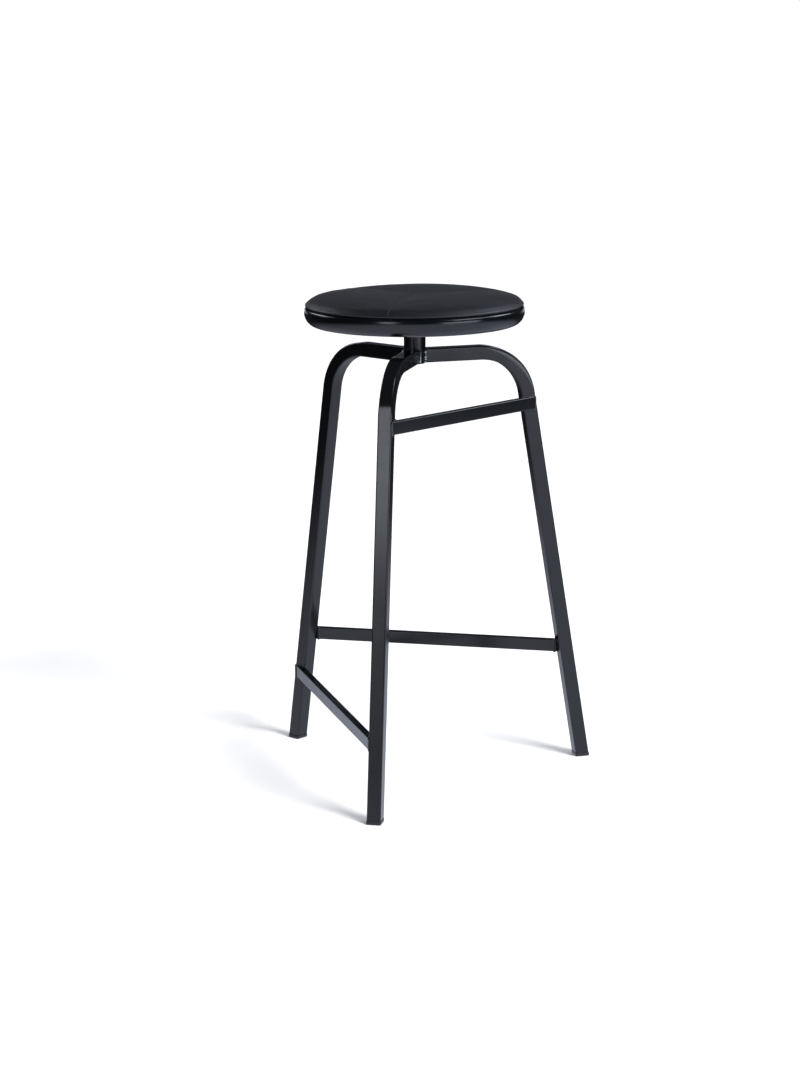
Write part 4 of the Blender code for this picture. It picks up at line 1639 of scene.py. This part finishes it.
# ---------------------------------------------------------------- studio
def direction(azimuth: float, elevation: float) -> Vector:
    """The direction at an azimuth and a height angle, in degrees."""
    turned, raised = radians(azimuth), radians(elevation)
    return Vector((cos(turned) * cos(raised), sin(turned) * cos(raised), sin(raised)))


@dataclass(frozen=True)
class Softbox:
    """A soft lamp seen in the gloss: its direction and height angle from the stool, distance and size."""

    name: str
    azimuth: float
    elevation: float
    distance: float
    width: float
    height: float
    radiance: float
    colour: str = "#eef3ff"
    aim: float = 0.5

    def build(self, axis: Vector) -> None:
        """Make the lamp, facing the stool.

        Args:
            axis: the stool's axis on the floor.
        """
        light = bpy.data.lights.new(self.name, "AREA")
        light.shape = "RECTANGLE"
        light.size, light.size_y = self.width, self.height
        light.energy = self.radiance * pi * self.width * self.height
        light.color = linear(self.colour)[:3]
        lamp = bpy.data.objects.new(self.name, light)
        out = direction(self.azimuth, self.elevation)
        lamp.location = axis + Vector((0, 0, self.aim)) + out * self.distance
        lamp.rotation_euler = (-out).to_track_quat("-Z", "Y").to_euler()
        bpy.context.scene.collection.objects.link(lamp)


@dataclass(frozen=True)
class StudioSet:
    """Pale floor under a broad sun, softboxes and lit cards for the gloss, and the camera."""

    axis: Axis
    azimuth: float = 13.549  # of the camera, from straight ahead of the front leg
    distance: float = 3.9783
    height: float = 1.2316
    pitch: float = 12.005
    pan: float = -0.364
    roll: float = -0.508
    lens: float = 87.6
    surround_strength: float = 1.03
    floor_side: float = 120.0
    floor_drop: float = 0.2 * MM  # how far the floor lies below the soles
    paper_side: float = 13.0
    paper_drop: float = 0.4 * MM
    wall_radius: float = 11.0
    sun_azimuth: float = 328.0
    sun_elevation: float = 30.0
    sun_width: float = 25.0
    sun_strength: float = 10.6
    lit_paper: tuple[float, float, float] = (1.2, -1.9, 0.0)
    lit_wall: tuple[float, float, float] = (-2.5, 10.5, 0.0)
    softboxes: tuple[Softbox, ...] = (
        Softbox("front_softbox", 256.5, 14.0, 3.7, 1.0, 1.35, 3.2),
        Softbox("front_fill", 256.5, 1.5, 3.9, 1.0, 0.9, 0.8),
        Softbox("right_fill", 332.0, 3.5, 3.6, 2.6, 0.8, 3.8),
        Softbox("key_softbox", 348.0, 42.0, 3.0, 1.7, 1.0, 5.0),
        Softbox("left_rim_softbox", 160.0, 27.0, 3.2, 1.9, 1.1, 3.3),
        Softbox("right_rim_softbox", 32.0, 34.0, 3.0, 1.4, 1.2, 6.0),
        Softbox("back_softbox", 103.0, 32.0, 3.4, 2.4, 0.9, 0.42),
    )

    def surround(self) -> None:
        """A white surround that lights the floor and stays out of the gloss."""
        world = bpy.data.worlds.new("studio_surround")
        world.use_nodes = True
        tree = world.node_tree
        tree.nodes.clear()
        shade = add_node(tree, "ShaderNodeBackground", inputs={"Color": linear("#ffffff"),
                                                              "Strength": self.surround_strength})
        add_node(tree, "ShaderNodeOutputWorld", inputs={"Surface": shade.outputs["Background"]})
        bpy.context.scene.world = world
        world.cycles_visibility.glossy = False

    def sun(self) -> None:
        """A broad sun from the front right, for the soft shadows on the floor."""
        light = bpy.data.lights.new("studio_sun", "SUN")
        light.energy = self.sun_strength
        light.angle = radians(self.sun_width)
        sun = bpy.data.objects.new("studio_sun", light)
        out = direction(self.sun_azimuth, self.sun_elevation)
        sun.rotation_euler = out.to_track_quat("Z", "Y").to_euler()
        sun.visible_glossy = False
        bpy.context.scene.collection.objects.link(sun)

    def plane(self, name: str, side: float, height: float, material: bpy.types.Material) -> bpy.types.Object:
        """Lay a level square of the stage about the middle of the floor.

        Args:
            name: its name.
            side: its width.
            height: its height.
            material: what it is made of.

        Returns:
            The square.
        """
        mesh = bpy.data.meshes.new(name)
        half = side / 2
        mesh.from_pydata([(-half, -half, 0), (half, -half, 0), (half, half, 0), (-half, half, 0)], [],
                         [(0, 1, 2, 3)])
        mesh.materials.append(material)
        plane = bpy.data.objects.new(name, mesh)
        plane.location.z = height
        bpy.context.scene.collection.objects.link(plane)
        return plane

    def glow(self, name: str, middle: tuple[float, float, float], squeeze: float,
             fall: dict[str, float]) -> bpy.types.Material:
        """A material that shines, for a card that only the gloss sees.

        Args:
            name: the material's name.
            middle: its brightest point, in metres.
            squeeze: how much faster it falls off upwards than sideways.
            fall: the range node's four ends, from near to far.

        Returns:
            The material.
        """
        made = bpy.data.materials.new(name)
        made.use_nodes = True
        tree = made.node_tree
        tree.nodes.clear()
        place = add_node(tree, "ShaderNodeTexCoord").outputs["Object"]
        squeezed = add_node(tree, "ShaderNodeMapping", inputs={"Vector": place, "Scale": (1.0, 1.0, squeeze)})
        away = add_node(tree, "ShaderNodeVectorMath", {"operation": "DISTANCE"}, {
            0: squeezed.outputs["Vector"], 1: middle})
        level = add_node(tree, "ShaderNodeMapRange", {"interpolation_type": "SMOOTHSTEP"},
                         {"Value": away.outputs["Value"], **fall})
        shine = add_node(tree, "ShaderNodeEmission", inputs={
            "Color": linear("#e6ecff"), "Strength": level.outputs["Result"]})
        add_node(tree, "ShaderNodeOutputMaterial", inputs={"Surface": shine.outputs["Emission"]})
        return made

    def cards(self) -> None:
        """The lit paper round the stool and the pale band of wall above it, as the gloss sees them."""
        glow = self.glow("lit_paper_glow", self.lit_paper, 1.0, {
            "From Min": 1.9, "From Max": 4.3, "To Min": 1.15, "To Max": 0.03})
        paper = self.plane("lit_paper", self.paper_side, -self.paper_drop, glow)
        bm = bmesh.new()
        bmesh.ops.create_uvsphere(bm, u_segments=64, v_segments=48, radius=self.wall_radius)
        mesh = bpy.data.meshes.new("wall_band")
        bm.to_mesh(mesh)
        bm.free()
        mesh.materials.append(self.glow("wall_band_glow", self.lit_wall, 4.0, {
            "From Min": 2.0, "From Max": 7.5, "To Min": 1.7, "To Max": 0.03}))
        wall = bpy.data.objects.new("wall_band", mesh)
        bpy.context.scene.collection.objects.link(wall)
        for card in (paper, wall):
            card.visible_camera = False
            card.visible_diffuse = False
            card.visible_shadow = False

    def floor(self) -> None:
        """The floor that the camera sees."""
        floor = self.plane("studio_floor", self.floor_side, -self.floor_drop, FLOOR_PAINT.material())
        floor.visible_glossy = False

    def camera(self) -> None:
        """The camera: a short telephoto, a little above the seat."""
        data = bpy.data.cameras.new("studio_camera")
        data.sensor_width = 36.0
        data.lens = self.lens
        data.clip_end = 200.0
        camera = bpy.data.objects.new("studio_camera", data)
        bpy.context.scene.collection.objects.link(camera)
        pitch, pan, roll = radians(self.pitch), radians(self.pan), radians(self.roll)
        ahead = Vector((sin(pan) * cos(pitch), cos(pan) * cos(pitch), -sin(pitch)))
        right = ahead.cross(Vector((0, 0, 1))).normalized()
        up = right.cross(ahead)
        rolled_right = right * cos(roll) + up * sin(roll)
        rolled_up = up * cos(roll) - right * sin(roll)
        spin = Matrix.Rotation(radians(self.azimuth), 3, "Z")
        columns = [spin @ v for v in (rolled_right, rolled_up, -ahead)]
        turned = Matrix([[column[row] for column in columns] for row in range(3)]).to_4x4()
        place = spin @ Vector((0, -self.distance, self.height)) + self.axis.place
        camera.matrix_world = Matrix.Translation(place) @ turned
        bpy.context.scene.camera = camera

    def build(self) -> None:
        """Set the studio up."""
        self.surround()
        self.sun()
        self.cards()
        self.floor()
        for softbox in self.softboxes:
            softbox.build(self.axis.place)
        self.camera()
        bpy.context.scene.view_settings.view_transform = "Standard"


def main() -> None:
    """Build the stool around its frame, then the studio."""
    logging.basicConfig(level=logging.INFO, format="%(name)s: %(message)s")
    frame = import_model()
    axis = Axis.of_hub()
    legs = BentLegs(axis)
    assemblies: tuple[Assembly, ...] = (legs, FootrestBars(legs), FootGlides(legs), Hub(legs),
                                        SwivelMount(axis), SeatShell(axis), LeatherPad(axis))
    for assembly in assemblies:
        for piece in assembly.build():
            LOG.info("%s of %s: %d vertices", piece.name, type(assembly).__name__, len(piece.data.vertices))
    InnerParts().dress(frame["nodes"])
    StudioSet(axis).build()


if __name__ == "__main__":
    main()
